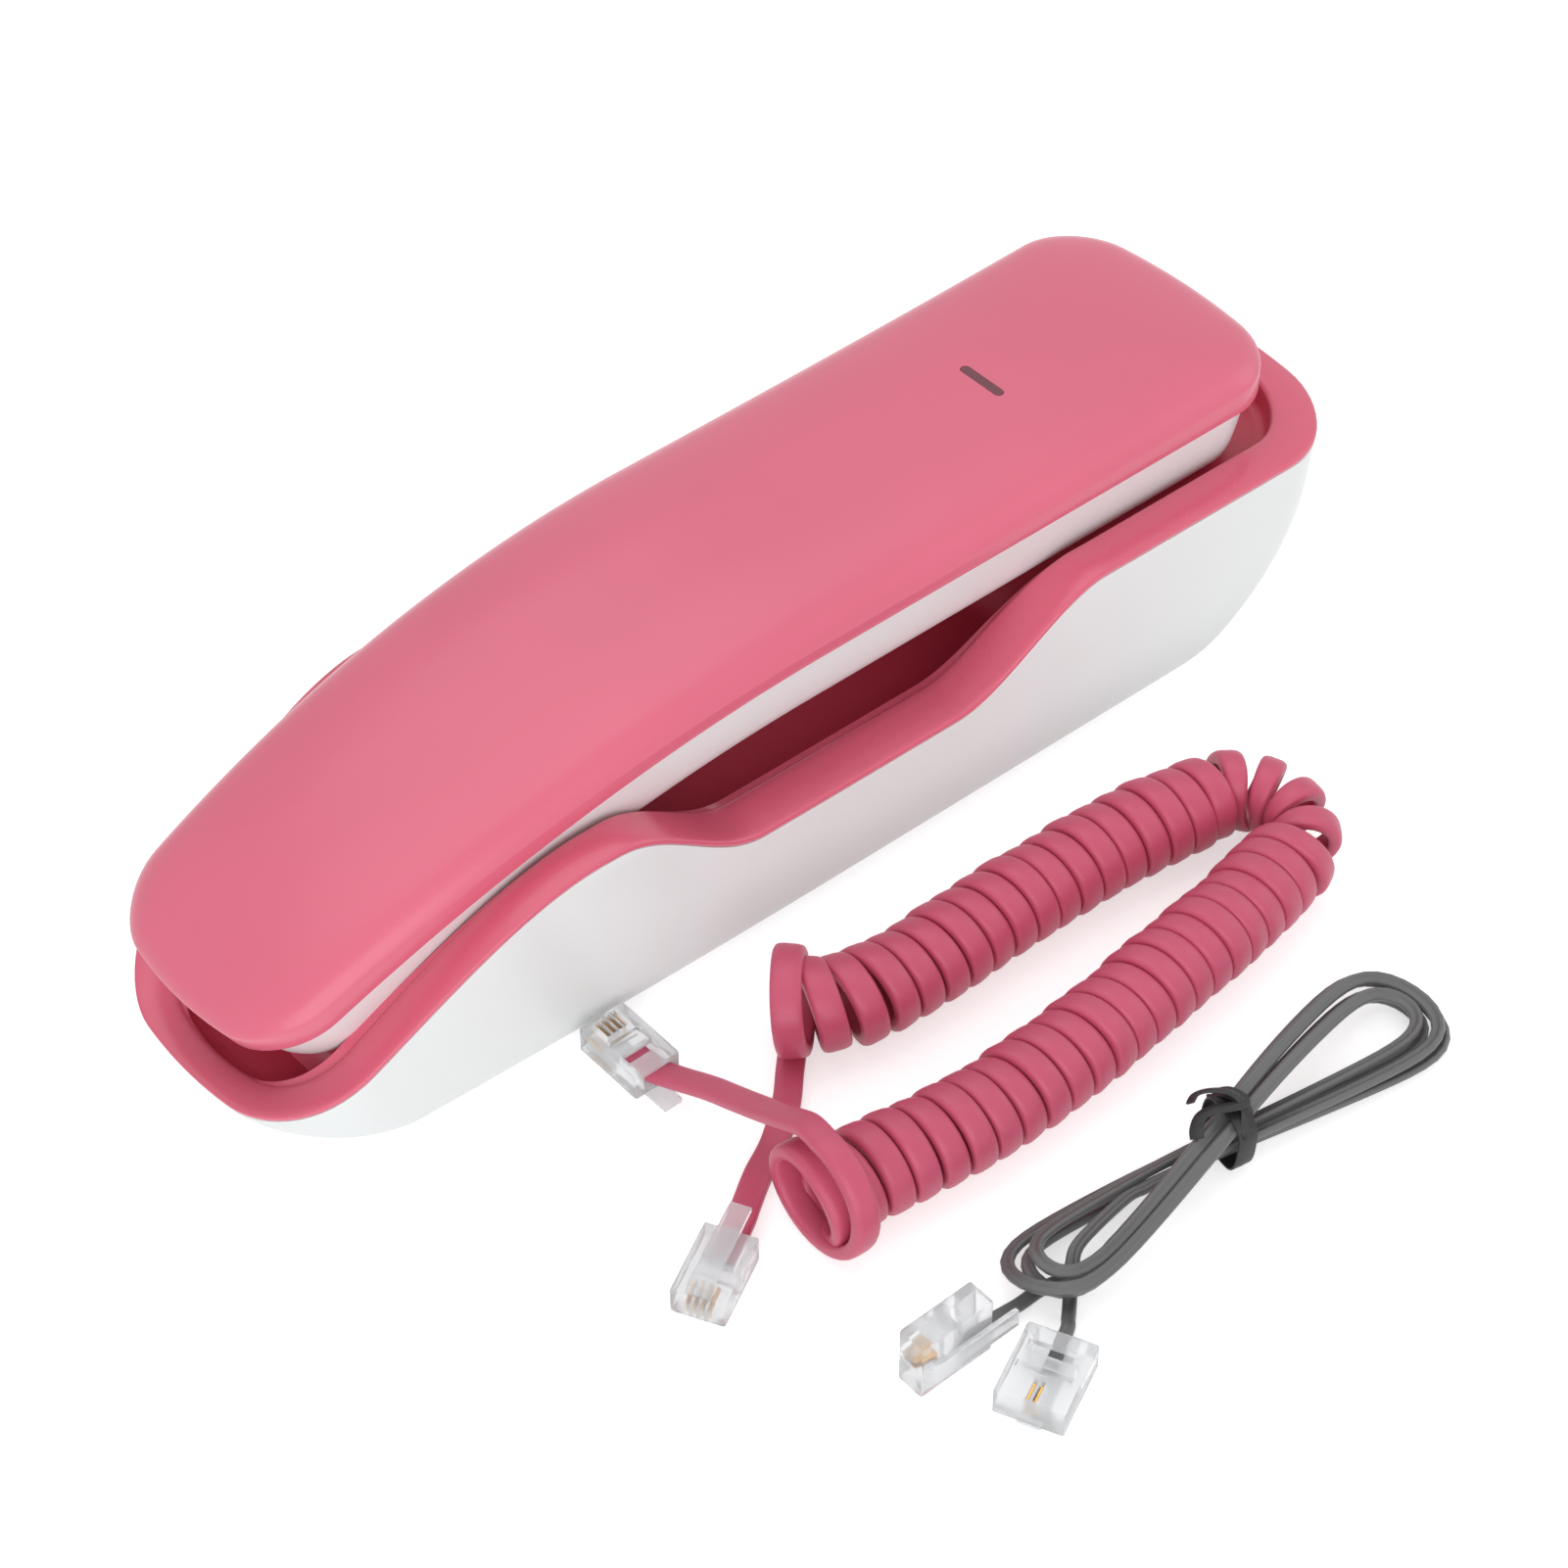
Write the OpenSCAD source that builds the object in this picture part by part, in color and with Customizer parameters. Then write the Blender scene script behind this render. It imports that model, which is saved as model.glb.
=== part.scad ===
// Compact corded phone: boat-shaped base, cradle tray with finger cut-outs, curved lift-off handset
// with its own keypad, a curly handset cord and a line cord tied in a hank. Sizes in millimetres.

/* [Base] */
// overall length of the base, along X
base_length = 193; // [189:1:200]
// width of the base's rim at mid length
base_width = 56; // [55:0.2:60]
// widening of the base per millimetre towards the ear end
base_taper = 0.023; // [0.01:0.001:0.03]
// extra narrowing of the base on each side at its mouth end
base_narrow = 3; // [1.5:0.1:3.4]
// wall of the base shell
base_wall = 2.2; // [1.8:0.1:2.6]
// height of the rim at the ear end
rim_height = 35.4; // [34.8:0.2:36.4]
// height of the rim at the mouth end
rim_low = 9.4; // [9:0.1:11]
// height of the rim in the finger cut-outs
cutout_height = 22.4; // [21:0.2:24]
// width of the flat rim along the sides
rim_width = 6.1; // [5.6:0.1:6.2]
// plan corner radius of the rim
base_corner = 14.8; // [12:0.2:16]
// radius of the hull's turn-up at the ear end
hull_end_radius = 25.6; // [22:0.2:27]
// radius of the hull's turn-up at the mouth end
hull_mouth_radius = 15; // [13:0.5:16]
// radius of the hull's bottom edge along the sides
hull_side_radius = 4.2; // [3.4:0.2:5]

/* [Handset] */
// half the overall length of the handset, measured along its curve
handset_half = 91.8; // [90.4:0.2:92.4]
// room between the handset's lower shell and the tray on each side, at rim height
side_room = 0.7; // [0.6:0.05:1]
// how far the lower shell's edge stands in from the cover's edge
shell_inset = 1.4; // [1.3:0.1:1.6]
// narrowing of the handset on each side at its mouth end
handset_narrow = 4.2; // [3:0.1:5]
// radius of the curve in the mouth half
curve_radius = 180; // [176:1:190]
// height of the cover's lower edge above the table
parting_height = 43.4; // [43:0.1:44.6]
// depth of the lower shell below the parting line
shell_depth = 12; // [11.5:0.1:12.4]
// height of the cover above the parting line
cover_height = 7.6; // [7:0.1:8.2]
// wall of the handset mouldings
handset_wall = 1.8; // [1.4:0.1:2]
// plan corner radius of the handset
handset_corner = 10.6; // [10:0.2:13]

/* [Keys] */
// length of a key along the handset
key_length = 6.4; // [5:0.2:7]
// space between neighbouring keys across the handset
key_space = 3.4; // [3.2:0.1:4]
// spacing of the key rows
key_pitch_x = 11; // [10:0.2:11.4]
// room between the outer keys and the inside of the shell
key_side = 0.7; // [0.6:0.05:1]
// how far the keys stand out of the shell
key_rise = 1; // [0.6:0.1:1.2]
// gap round each key
key_gap = 0.3; // [0.2:0.05:0.4]

/* [Hook switch] */
// radius of the plunger
plunger_radius = 2.4; // [2:0.1:3]
// running clearance round the plunger
plunger_clearance = 0.05; // [0.03:0.01:0.08]

/* [Cords] */
// radius of the curly cord's curls, to the middle of the strip
curl_radius = 5.5; // [5:0.1:5.8]
// spacing of the curls on the straight runs
curl_pitch = 3.9; // [3.9:0.1:4.4]
// width of the flat strip that the curly cord is wound from
strip_width = 3.2; // [2.8:0.1:3.2]
// thickness of that strip
strip_thick = 2.2; // [1.8:0.1:2.4]
// thickness of the line cord
line_thick = 1.7; // [1.4:0.1:1.7]
// turns in the hank of line cord
hank_turns = 4; // [4:4]

/* [Hidden] */
$fn = 40;
half_l = base_length / 2;
half_w = base_width / 2;
handset_width = base_width - 2 * (rim_width + side_room - shell_inset);
floor_inset = 4.6 + handset_wall;
key_flange = 0.7;
key_width = (handset_width - 2 * (floor_inset + key_side + key_flange) - 2 * key_space) / 3;
key_pitch_y = key_width + key_space;
lip = 1;
seat_gap = 0.3;
bend_x = -3;
crest_z = 35.4;
side_flare = 0.095;
rim_end = 5;
wall_draft = 0.09;

function ease(t) = let (u = min(1, max(0, t))) u * u * (3 - 2 * u);
function turn_in(z, r) = z < r ? r * (1 - sqrt(max(0, 1 - pow((r - z) / r, 2)))) : 0;

// ---- plan outlines: rounded rectangle with gently bowed ends, 4 * (side + corner + ends) points
side_n = 15;
corner_n = 5;
end_n = 3;
base_bow = 3.7;
handset_bow = 2.6;
function quarter(hl, hw, rc) = concat(
    [for (i = [0:side_n - 1]) [(hl - rc) * i / side_n, hw]],
    [for (i = [0:corner_n]) let (a = 90 - 90 * i / corner_n)
        [hl - rc + rc * cos(a), hw - rc + rc * sin(a)]],
    [for (i = [1:end_n]) [hl, (hw - rc) * (1 - i / end_n)]]);
function bowed(q, hl, hw, bow) = [for (p = q)
    [p[0] - bow * pow(p[1] / hw, 2) * pow(max(0, p[0] / hl), 8), p[1]]];
function ring(hl, hw, rc, bow) = let (q = bowed(quarter(hl, hw, rc), hl, hw, bow), m = len(q))
    concat([for (i = [0:m - 1]) q[i]],
           [for (i = [m - 2:-1:0]) [q[i][0], -q[i][1]]],
           [for (i = [1:m - 1]) [-q[i][0], -q[i][1]]],
           [for (i = [m - 2:-1:1]) [-q[i][0], q[i][1]]]);
ring_n = 4 * (side_n + corner_n + end_n);

// joins rings of equal point counts into one closed skin; both ends are closed across the width
function skin_faces(rows, n) = concat(
    [for (r = [0:rows - 2]) for (i = [0:n - 1]) let (j = (i + 1) % n)
        each [[r * n + i, r * n + j, (r + 1) * n + j], [r * n + i, (r + 1) * n + j, (r + 1) * n + i]]],
    cap_faces(0, n, true), cap_faces((rows - 1) * n, n, false));
// the ring starts at the middle of the +Y side and runs towards +X, so i and n/2 - i face each other
function cap_faces(b, n, flip) = let (h = n / 2)
    [for (k = [0:h - 1]) let (a = (n - h / 2 + k) % n, a2 = (a + 1) % n,
            c = (h + n - a) % n, c2 = (h + n - a2) % n)
        each concat(
            a != c && a2 != c ? [flip ? [b + a, b + c, b + a2] : [b + a, b + a2, b + c]] : [],
            a2 != c2 && c != c2 && a2 != c ?
                [flip ? [b + a2, b + c, b + c2] : [b + a2, b + c2, b + c]] : [])];
module skin(rings, inward = false) {
    n = len(rings[0]);
    f = skin_faces(len(rings), n);
    polyhedron(points = [for (r = rings) each r],
        faces = inward ? [for (t = f) [t[0], t[2], t[1]]] : f, convexity = 8);
}

// ---- rim line: low at the mouth end, a crest, a finger cut-out, then level to the ear end
function rim_z(x) = let (
        t = (x + half_l) / (half_l - 44),
        rise = (sin(90 * min(1, max(0, t))) + ease(t)) / 2,
        top = x < -44 ? rim_low + (crest_z - rim_low) * rise
            : crest_z + (rim_height - crest_z) * ease((x + 44) / 90),
        dip = ease((x + 42) / 25) * ease((44 - x) / 26))
    top - (top - cutout_height) * dip;

// the hull turns up in a tighter curve at the mouth end
function end_in(x0, z) = turn_in(z, x0 < 0 ? hull_mouth_radius : hull_end_radius);
// sideways scale: the base narrows towards the mouth end
function narrow(x) = 1 + (base_taper / 2 * x - (x < 0 ? base_narrow * pow(x / half_l, 2) : 0)) / half_w;
// ---- hull: half sizes at height z, less an inset d along the sides and e at the ends
function hull_pt_ring(z_of, d_of, e_of) = let (top = ring(half_l, half_w, base_corner, base_bow))
    [for (i = [0:ring_n - 1]) let (x0 = top[i][0], z = z_of(x0), d = d_of(z), e = e_of(z),
            hl = half_l - end_in(x0, z) - e,
            hw = half_w - side_flare * (rim_height - z) - turn_in(z, hull_side_radius) - d,
            rc = max(5, base_corner - 0.65 * d - 0.25 * turn_in(z, hull_side_radius)),
            p = ring(hl, hw, rc, base_bow)[i]) [p[0], p[1] * narrow(p[0]), z]];

// ---- handset frame: straight ear half, circular mouth half; s along it, h up from the parting line
function bend(s, y, h) = s >= 0 ? [bend_x + s, y, parting_height + h]
    : let (a = -s / curve_radius * 180 / PI)
      [bend_x - (curve_radius + h) * sin(a), y, parting_height - curve_radius + (curve_radius + h) * cos(a)];
handset_mid = -2.2;
function slimmer(s) = 0.003 * s - (s < 0 ? handset_narrow * pow(s / handset_half, 2) : 0);
function handset_ring(inset, h_of) = let (
        hl = handset_half - inset, hw = handset_width / 2 - inset,
        q = ring(hl, hw, max(3, handset_corner - 0.7 * inset), handset_bow))
    [for (p = q) let (s = p[0] + handset_mid)
        bend(s, p[1] * (1 + slimmer(s) / hw), h_of(s))];
function shell_bottom(x) = x >= bend_x ? parting_height - shell_depth
    : parting_height - curve_radius + sqrt(pow(curve_radius - shell_depth, 2) - pow(bend_x - x, 2));
function band(s) = 2.4 + 2.1 * pow(s / handset_half, 2);
function lerp(a, b, t) = a + (b - a) * t;

// ---- tray floor: follows the handset near its ends, deep under its middle
well_floor = 15;
end_floor = 6.6;
floor_from = -56;
floor_to = 44;
function floor_z(x) = let (seat = shell_bottom(x) - seat_gap - 0.1,
        deep = ease((x - floor_from) / 10) * ease((floor_to + 6 - x) / 8))
    max(end_floor, lerp(seat, min(well_floor, seat), deep));

// inset of the tray's inner wall at height z, along the sides and at the ends
function inner_d(z) = rim_width + wall_draft * (rim_height - z);
function inner_e(z) = rim_end;
tray_wall = 1.4;

// ---- swept cords: one ring per station, each [point, width axis, thickness axis, half width, half thickness]
function unit(v) = v / norm(v);
function section(st, n) = [for (k = [0:n - 1]) let (a = 360 * (k + 0.5) / n)
    st[0] + st[1] * (st[3] * cos(a)) + st[2] * (st[4] * sin(a))];
module sweep(stations, n) {
    m = len(stations);
    polyhedron(points = [for (s = stations) each section(s, n)],
        faces = concat(
            [for (r = [0:m - 2]) for (i = [0:n - 1]) let (j = (i + 1) % n)
                each [[r * n + i, r * n + j, (r + 1) * n + j], [r * n + i, (r + 1) * n + j, (r + 1) * n + i]]],
            [for (i = [1:n - 2]) [0, i + 1, i]],
            [for (i = [1:n - 2]) [(m - 1) * n, (m - 1) * n + i, (m - 1) * n + i + 1]]), convexity = 10);
}
// smooth route through hand-placed points, with straight first and last legs
function spline_pt(p, i, t) = let (a = p[max(0, i - 1)], b = p[i], c = p[i + 1], d = p[min(len(p) - 1, i + 2)])
    0.5 * (2 * b + (c - a) * t + (2 * a - 5 * b + 4 * c - d) * t * t + (3 * b - a - 3 * c + d) * t * t * t);
function route(p, k) = concat(
    [for (i = [0:len(p) - 2]) for (j = [0:k - 1]) spline_pt(p, i, j / k)], [p[len(p) - 1]]);
function flat_stations(r, hw, ht, first, last) = [for (i = [0:len(r) - 1]) let (
        t = i == 0 ? first : i == len(r) - 1 ? last : unit(r[i + 1] - r[i - 1]),
        side = unit(cross([0, 0, 1], t)))
    [r[i], side, cross(t, side), hw, ht]];

// ---- curly cord: a coil laid in a narrow U on the table
coil_z = curl_radius + strip_thick / 2 + 0.25;
curls_a = 23;
curls_b = 17.5;
u_radius = 8.4;
u_curls = 5;
curl_count = curls_a + u_curls + curls_b;
ring_per_curl = 8;
// heading of the spine at curl number c: a gently bowed run, a tight bend, a second run
heads = [[0, -8], [4, -10], [8, -2], [12, 6], [17, 6], [curls_a, 11], [curls_a + u_curls, 169],
    [curls_a + u_curls + 5, 177], [curls_a + u_curls + 10, 183], [curls_a + u_curls + 14, 178],
    [curl_count, 154]];
function heading(c) = lookup(c, heads);
function curl_step(c) = c > curls_a && c < curls_a + u_curls
    ? u_radius * PI / 180 * (heading(curls_a + u_curls) - heading(curls_a)) / u_curls
    : c > curl_count - 4 ? 1.12 * curl_pitch : curl_pitch;
function dir2(a) = [cos(a), sin(a)];
function left2(a) = [-sin(a), cos(a)];
spine_from = [-45.6, -68.8];
coil_n = round(curl_count * ring_per_curl);
spine_xy = [for (k = 0, p = spine_from; k <= coil_n;
    p = p + dir2(heading((k + 0.5) / ring_per_curl)) * curl_step((k + 0.5) / ring_per_curl) / ring_per_curl,
    k = k + 1) p];
function spine(k) = let (c = k / ring_per_curl)
    [spine_xy[k], heading(c), ease(c - curls_a) * ease(curls_a + u_curls - c)];
run_a_angle = heading(0);
run_b_angle = heading(curl_count);
// the coil turns over from the top towards its right-hand side; in the bend its inner side is pressed flat
function coil_station(k) = let (s = spine(k), f = -360 * k / ring_per_curl, l = left2(s[1]),
        n = [l[0], l[1], 0],
        inner = max(0, sin(f)), r = curl_radius - 2.7 * s[2] * inner,
        radial = [0, 0, 1] * cos(f) + n * sin(f))
    [[s[0][0], s[0][1], coil_z] + radial * r, [dir2(s[1])[0], dir2(s[1])[1], 0], radial,
     strip_width / 2 - 0.5 * s[2] * inner, strip_thick / 2];
coil_stations = [for (k = [0:coil_n]) coil_station(k)];
coil_start = coil_stations[0];
coil_end = coil_stations[len(coil_stations) - 1];
start_dir = [-left2(run_a_angle)[0], -left2(run_a_angle)[1], 0];
end_dir = [left2(run_b_angle)[0], left2(run_b_angle)[1], 0];
tail_a = [for (k = [1:2]) [coil_start[0] - start_dir * strip_width * k / 1.6 - [0, 0, 0.1 * k],
    coil_start[1], coil_start[2], coil_start[3], coil_start[4]]];
tail_b = [for (k = [1:2]) [coil_end[0] + end_dir * strip_width * k / 1.6, coil_end[1], coil_end[2],
    coil_end[3], coil_end[4]]];
coil_all = concat([tail_a[1], tail_a[0]], coil_stations, tail_b);

// ---- hank of line cord: a figure of eight, two turns below and two above
hank_mid = [4.1, -94.7];
hank_pitch = line_thick + 0.5;
hank_low_z = line_thick / 2 + 0.3;
hank_rings = 24;
tie_lift = 0.4;
function hank_u(t) = t < hank_turns / 2 ? hank_turns / 2 - t : t - hank_turns / 2;
function hank_pt(t) = let (q = 270 + 360 * t, u = hank_u(t), w = (1 + sin(q)) / 2,
        a = lerp(38 - hank_pitch * u, 35.4 + hank_pitch * u, w),
        b = lerp(4.6 - u, 5.8 + u * 1.1, w),
        layer = ease((t - hank_turns / 2 + 0.06) / 0.12),
        rise = pow(max(0, cos(q)), 2) * 2 + pow(max(0, -sin(q)), 6))
    [hank_mid[0] + a * sin(q),
     hank_mid[1] + 2 * w + b * sin(2 * q) + (u - 1) * hank_pitch * cos(q) - 1,
     hank_low_z + hank_pitch * (layer + rise) + tie_lift * pow(cos(q), 2)
        + 1.5 * ease((t - hank_turns + 0.15) / 0.15)];
hank_start = 0.12;
hank_route = [for (k = [0:round((hank_turns - hank_start) * hank_rings)]) hank_pt(hank_start + k / hank_rings)];

// free stretches of cord
lead_a_route = [[-45.3, -61, 11.2], [-44.5, -56, 9.1], [-44, -50.5, 6.6], [-44.6, -45, 4.6], [-45.5, -40.5, 3.8],
    [-45.9, -38.4, 3.8]];
lead_b_route = [[-31, -48.6, 1.4], [-35, -51.3, 1.5], [-40.5, -55.2, 1.5], [-45.8, -58.4, 1.7],
    [-50.4, -61.4, 2.2], [-53.4, -63.5, 2.4]];
line_a_route = [[-42.4, -95.9, 2.7], [-38.4, -95.9, 2], [-34.4, -95.9, 1.3], [-29.4, -95.9, 1.4],
    [-25.4, -96.6, 2.1]];
line_b_route = [[-29.3, -97.9, 7.4], [-29.4, -100.6, 7.4], [-30.3, -102.9, 6.2], [-32, -103.9, 4.8],
    [-34.4, -104.8, 3.9]];

// ---- modular plugs: tip along +X, cable at the rear, latch spring below
plug_length = 12;
touch = 0.02;
function plug_dir(p) = [cos(p[2]), sin(p[2]), 0];
function plug_end(p, z) = [p[0], p[1], z] + (5 - touch) * plug_dir(p);
module plug(width, latch_up = false) {
    mirror([0, 0, latch_up ? 1 : 0]) translate([0, 0, latch_up ? -6.2 : 0]) {
        difference() {
            translate([0, -width / 2, 1.6]) cube([plug_length, width, 4.4]);
            translate([-1, -width / 2 + 1.6, 2.6]) cube([6, width - 3.2, 2.4]);
            for (y = [-1.53, -0.51, 0.51, 1.53])
                translate([plug_length - 3.6, y - 0.22, 4.6]) cube([3, 0.44, 3]);
        }
        translate([plug_length - 2.4, -1.6, 0.5]) cube([1.4, 3.2, 1.1]);
        translate([-3.2, -1.6, 0.3]) cube([plug_length + 2.2, 3.2, 0.9]);
    }
}
module at_plug(x, y, angle) { translate([x, y, 0]) rotate([0, 0, angle]) children(); }
plug_a_at = [-46, -37.9, 90];
plug_b_at = [-55.8, -64.8, 208];
plug_c_at = [-41.2, -99.7, 180];
plug_d_at = [-35.8, -105.3, 205];

// ---- fittings
key_x = 34;
shell_floor = parting_height - shell_depth;
shell_inner = shell_floor + handset_wall;
ear_x = 66;
mic_s = -71;
hook_x = 52;
lamp_x = 45.7;
lamp_length = 8.2;
lamp_width = 1.5;
handset_screw = [46.5, handset_width / 2 - 9.6];
board_half = handset_width / 2 - floor_inset + seat_gap;
base_screws_at = [[70, 12], [70, -12], [-30, 14], [-30, -14]];
feet_at = [[58, 13], [58, -13], [-58, 13], [-58, -13]];
keyhole_x = [-40, 40];
hull_low = 0.4;
jack_front = half_w - 8.4;
cord_jack_x = -66;
line_jack_x = -50;
jack_low = 2.5;
jack_top = 12.9;
knob_x = 40;
knob_z = 10.5;
knob_y = half_w - 7.1;
board_top = 6.6;

// least room between neighbouring turns, point to point on the finished skins
function least(a, b, lo, hi) = min([for (i = [0:len(a) - 1]) for (j = [i + lo:min(i + hi, len(b) - 1)])
    for (p = a[i]) for (q = b[j]) norm(p - q)]);
coil_rings = [for (st = coil_all) section(st, 6)];
hank_all = [for (i = [0:len(hank_route) - 1]) flat_stations([hank_route[max(0, i - 1)], hank_route[i],
    hank_route[min(len(hank_route) - 1, i + 1)]], line_thick / 2, line_thick / 2, [1, 0, 0], [1, 0, 0])[1]];
hank_rings_xyz = [for (st = hank_all) section(st, 6)];
echo(coil_gap = least(coil_rings, coil_rings, 5, 12), coil_curls = curl_count);
echo(hank_start = hank_route[0], hank_end = hank_route[len(hank_route) - 1], coil_a = tail_a[1][0], coil_b = tail_b[1][0]);
echo(hank_gap = least(hank_rings_xyz, hank_rings_xyz, 5, 200));

module base_shell() {
    color([0.95, 0.95, 0.95]) difference() {
        union() {
            skin(concat(
                [for (z = [hull_low, 1, 2.2, 4.2])
                    hull_pt_ring(function (x) z, function (z) 0, function (z) 0)],
                [for (t = [0.1, 0.24, 0.42, 0.64, 1])
                    hull_pt_ring(function (x) lerp(4.2, rim_z(x) - lip - 0.15, t),
                        function (z) 0, function (z) 0)],
                [for (t = [1, 0.5, 0.22, 0.06])
                    hull_pt_ring(function (x) lerp(4, rim_z(x) - lip - 0.15, t),
                        function (z) base_wall, function (z) base_wall)],
                [hull_pt_ring(function (x) base_wall + hull_low, function (z) base_wall,
                    function (z) base_wall)]));
            for (p = [[-24, 16], [-24, -16], [58, 6], [58, -6]])
                translate([p[0], p[1], 1]) cylinder(r = 2.6, h = board_top - 1.6 - 1);
        }
        for (p = base_screws_at) translate([p[0], p[1], -1]) {
            cylinder(r = 1.75, h = 6);
            cylinder(r = 3.3, h = 2.5);
        }
        for (p = feet_at) translate([p[0], p[1], -1]) cylinder(r = 5.2, h = 2.5);
        for (x = keyhole_x) {
            translate([x, 0, -1]) cylinder(r = 4.2, h = 5);
            translate([x, -2.1, -1]) cube([8, 4.2, 5]);
        }
        translate([cord_jack_x - 3.9, jack_front - 1, jack_low + 1.9]) cube([7.8, 12, 6.2]);
        translate([line_jack_x - 4.9, jack_front - 1, jack_low + 1.7]) cube([9.8, 12, 6.6]);
        translate([knob_x - 6.2, knob_y, knob_z - 1.8]) cube([12.4, 12, 3.6]);
    }
}

module cradle_tray() {
    color([0.88, 0.42, 0.53]) difference() {
        union() {
            skin([
                hull_pt_ring(function (x) floor_z(x) - tray_wall,
                    function (z) inner_d(z) + 0.6, function (z) inner_e(z) + 0.8),
                hull_pt_ring(function (x) min(floor_z(x) + 0.8, rim_z(x) - 2.8),
                    function (z) inner_d(z) - tray_wall, function (z) inner_e(z) - tray_wall),
                hull_pt_ring(function (x) rim_z(x) - 2.6,
                    function (z) inner_d(z) - tray_wall, function (z) inner_e(z) - tray_wall),
                hull_pt_ring(function (x) rim_z(x) - 2.2,
                    function (z) base_wall + 0.3, function (z) base_wall + 0.3),
                hull_pt_ring(function (x) rim_z(x) - lip,
                    function (z) base_wall + 0.3, function (z) base_wall + 0.3),
                hull_pt_ring(function (x) rim_z(x) - lip, function (z) 0, function (z) 0),
                hull_pt_ring(function (x) rim_z(x) - 0.35, function (z) 0, function (z) 0),
                hull_pt_ring(function (x) rim_z(x), function (z) 0.5, function (z) 0.5),
                hull_pt_ring(function (x) rim_z(x) + 0.25, function (z) rim_width / 2,
                    function (z) rim_end / 2),
                hull_pt_ring(function (x) rim_z(x), function (z) rim_width - 0.8,
                    function (z) inner_e(z) - 0.6),
                hull_pt_ring(function (x) rim_z(x) - 0.7, function (z) inner_d(z),
                    function (z) inner_e(z)),
                hull_pt_ring(function (x) floor_z(x) + 1.2, function (z) inner_d(z),
                    function (z) inner_e(z)),
                hull_pt_ring(function (x) floor_z(x), function (z) inner_d(z) + 1.2,
                    function (z) inner_e(z) + 1.2)]);
            for (p = base_screws_at) let (top = floor_z(p[0]) - 1)
                translate([p[0], p[1], base_wall + hull_low + 0.3])
                    cylinder(r = 3.4, h = top - base_wall - hull_low - 0.3);
            translate([hook_x, 0, 20]) cylinder(r = plunger_radius + 2.2, h = floor_z(hook_x) - 21);
        }
        for (p = base_screws_at) translate([p[0], p[1], 0]) cylinder(r = 1.55, h = 10);
        translate([hook_x, 0, 10]) cylinder(r = plunger_radius + plunger_clearance, h = 40);
    }
}

module base_board() {
    color([0.1, 0.4, 0.2]) difference() {
        translate([-34, 9 - half_w, board_top - 1.6]) cube([96.5, base_width - 18, 1.6]);
        for (p = base_screws_at) translate([p[0], p[1], 0]) cylinder(r = 3.7, h = 12);
    }
}
module hook_switch() {
    color([0.15, 0.15, 0.15]) translate([hook_x - 6, -4.5, board_top]) cube([12, 9, 6]);
}
module hook_plunger() {
    color([0.9, 0.9, 0.9]) {
        translate([hook_x, 0, board_top + 6 + seat_gap])
            cylinder(r = plunger_radius, h = shell_floor - seat_gap - board_top - 6 - seat_gap);
        translate([hook_x, 0, 14.5]) cylinder(r = plunger_radius + 1.6, h = 1.6);
    }
}
module ringer_buzzer() {
    color([0.1, 0.1, 0.1]) difference() {
        translate([20, 0, board_top]) cylinder(r = 11, h = 5);
        translate([20, 0, board_top + 4]) cylinder(r = 2, h = 3);
    }
}
module jack(x, width, open_w, open_h, low) {
    color([0.2, 0.2, 0.2]) difference() {
        translate([x - width / 2, jack_front - 14, jack_low + 0.1])
            cube([width, 14, jack_top - jack_low - 0.1]);
        translate([x - open_w / 2, jack_front - 12, jack_low + low]) cube([open_w, 14, open_h]);
    }
}
module line_jack() { jack(line_jack_x, 13, 9.8, 6.6, 1.7); }
module cord_jack() { jack(cord_jack_x, 11, 7.8, 6.2, 1.9); }
module base_screws() {
    color([0.7, 0.7, 0.7]) for (p = base_screws_at) {
        translate([p[0], p[1], hull_low + 0.1]) cylinder(r = 3, h = 0.8);
        translate([p[0], p[1], hull_low + 0.1]) cylinder(r = 1.5, h = 8.2);
    }
}
module rubber_feet() {
    color([0.1, 0.1, 0.1]) for (p = feet_at) translate([p[0], p[1], 0]) cylinder(r = 5, h = 1.45);
}
module ballast_plate() {
    color([0.6, 0.6, 0.62]) translate([-16, -11, base_wall + hull_low + 0.02]) cube([48, 22, 1.8]);
}
module volume_knob() {
    color([0.15, 0.15, 0.15]) {
        translate([knob_x - 9.2, knob_y, knob_z - 2.6]) cube([18.4, 2.1, 5.2]);
        translate([knob_x - 3.2, knob_y + 1.4, knob_z - 1.5]) cube([6.4, 4.7, 3]);
    }
}

cover_steps = [[16, 1], [10, 0.9], [5, 0.72], [2.2, 0.5], [0.8, 0.26], [0.15, 0]];
module handset_cover() {
    color([0.88, 0.42, 0.53]) difference() {
        union() {
            skin(concat(
                [for (c = cover_steps)
                    handset_ring(c[0], function (s) lerp(band(s), cover_height, c[1]))],
                [handset_ring(0, function (s) 0), handset_ring(handset_wall, function (s) 0),
                 handset_ring(handset_wall + 0.6, function (s) band(s) - 1),
                 handset_ring(handset_wall + 5, function (s) cover_height - handset_wall - 0.9),
                 handset_ring(handset_wall + 14, function (s) cover_height - handset_wall)]), true);
            for (y = [-1, 1]) translate([handset_screw[0], y * handset_screw[1], shell_inner + seat_gap])
                cylinder(r = 2.8, h = parting_height + cover_height - 2.4 - shell_inner - seat_gap);
        }
        for (y = [-1, 1]) translate([handset_screw[0], y * handset_screw[1], 30])
            cylinder(r = 1.25, h = 9);
        translate([lamp_x, 0, parting_height]) slot(lamp_length + 0.2, lamp_width + 0.2, 12);
    }
}
module slot(length, width, height) {
    linear_extrude(height) {
        square([width, length - width], center = true);
        for (y = [-1, 1]) translate([0, y * (length - width) / 2]) circle(r = width / 2);
    }
}
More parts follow.
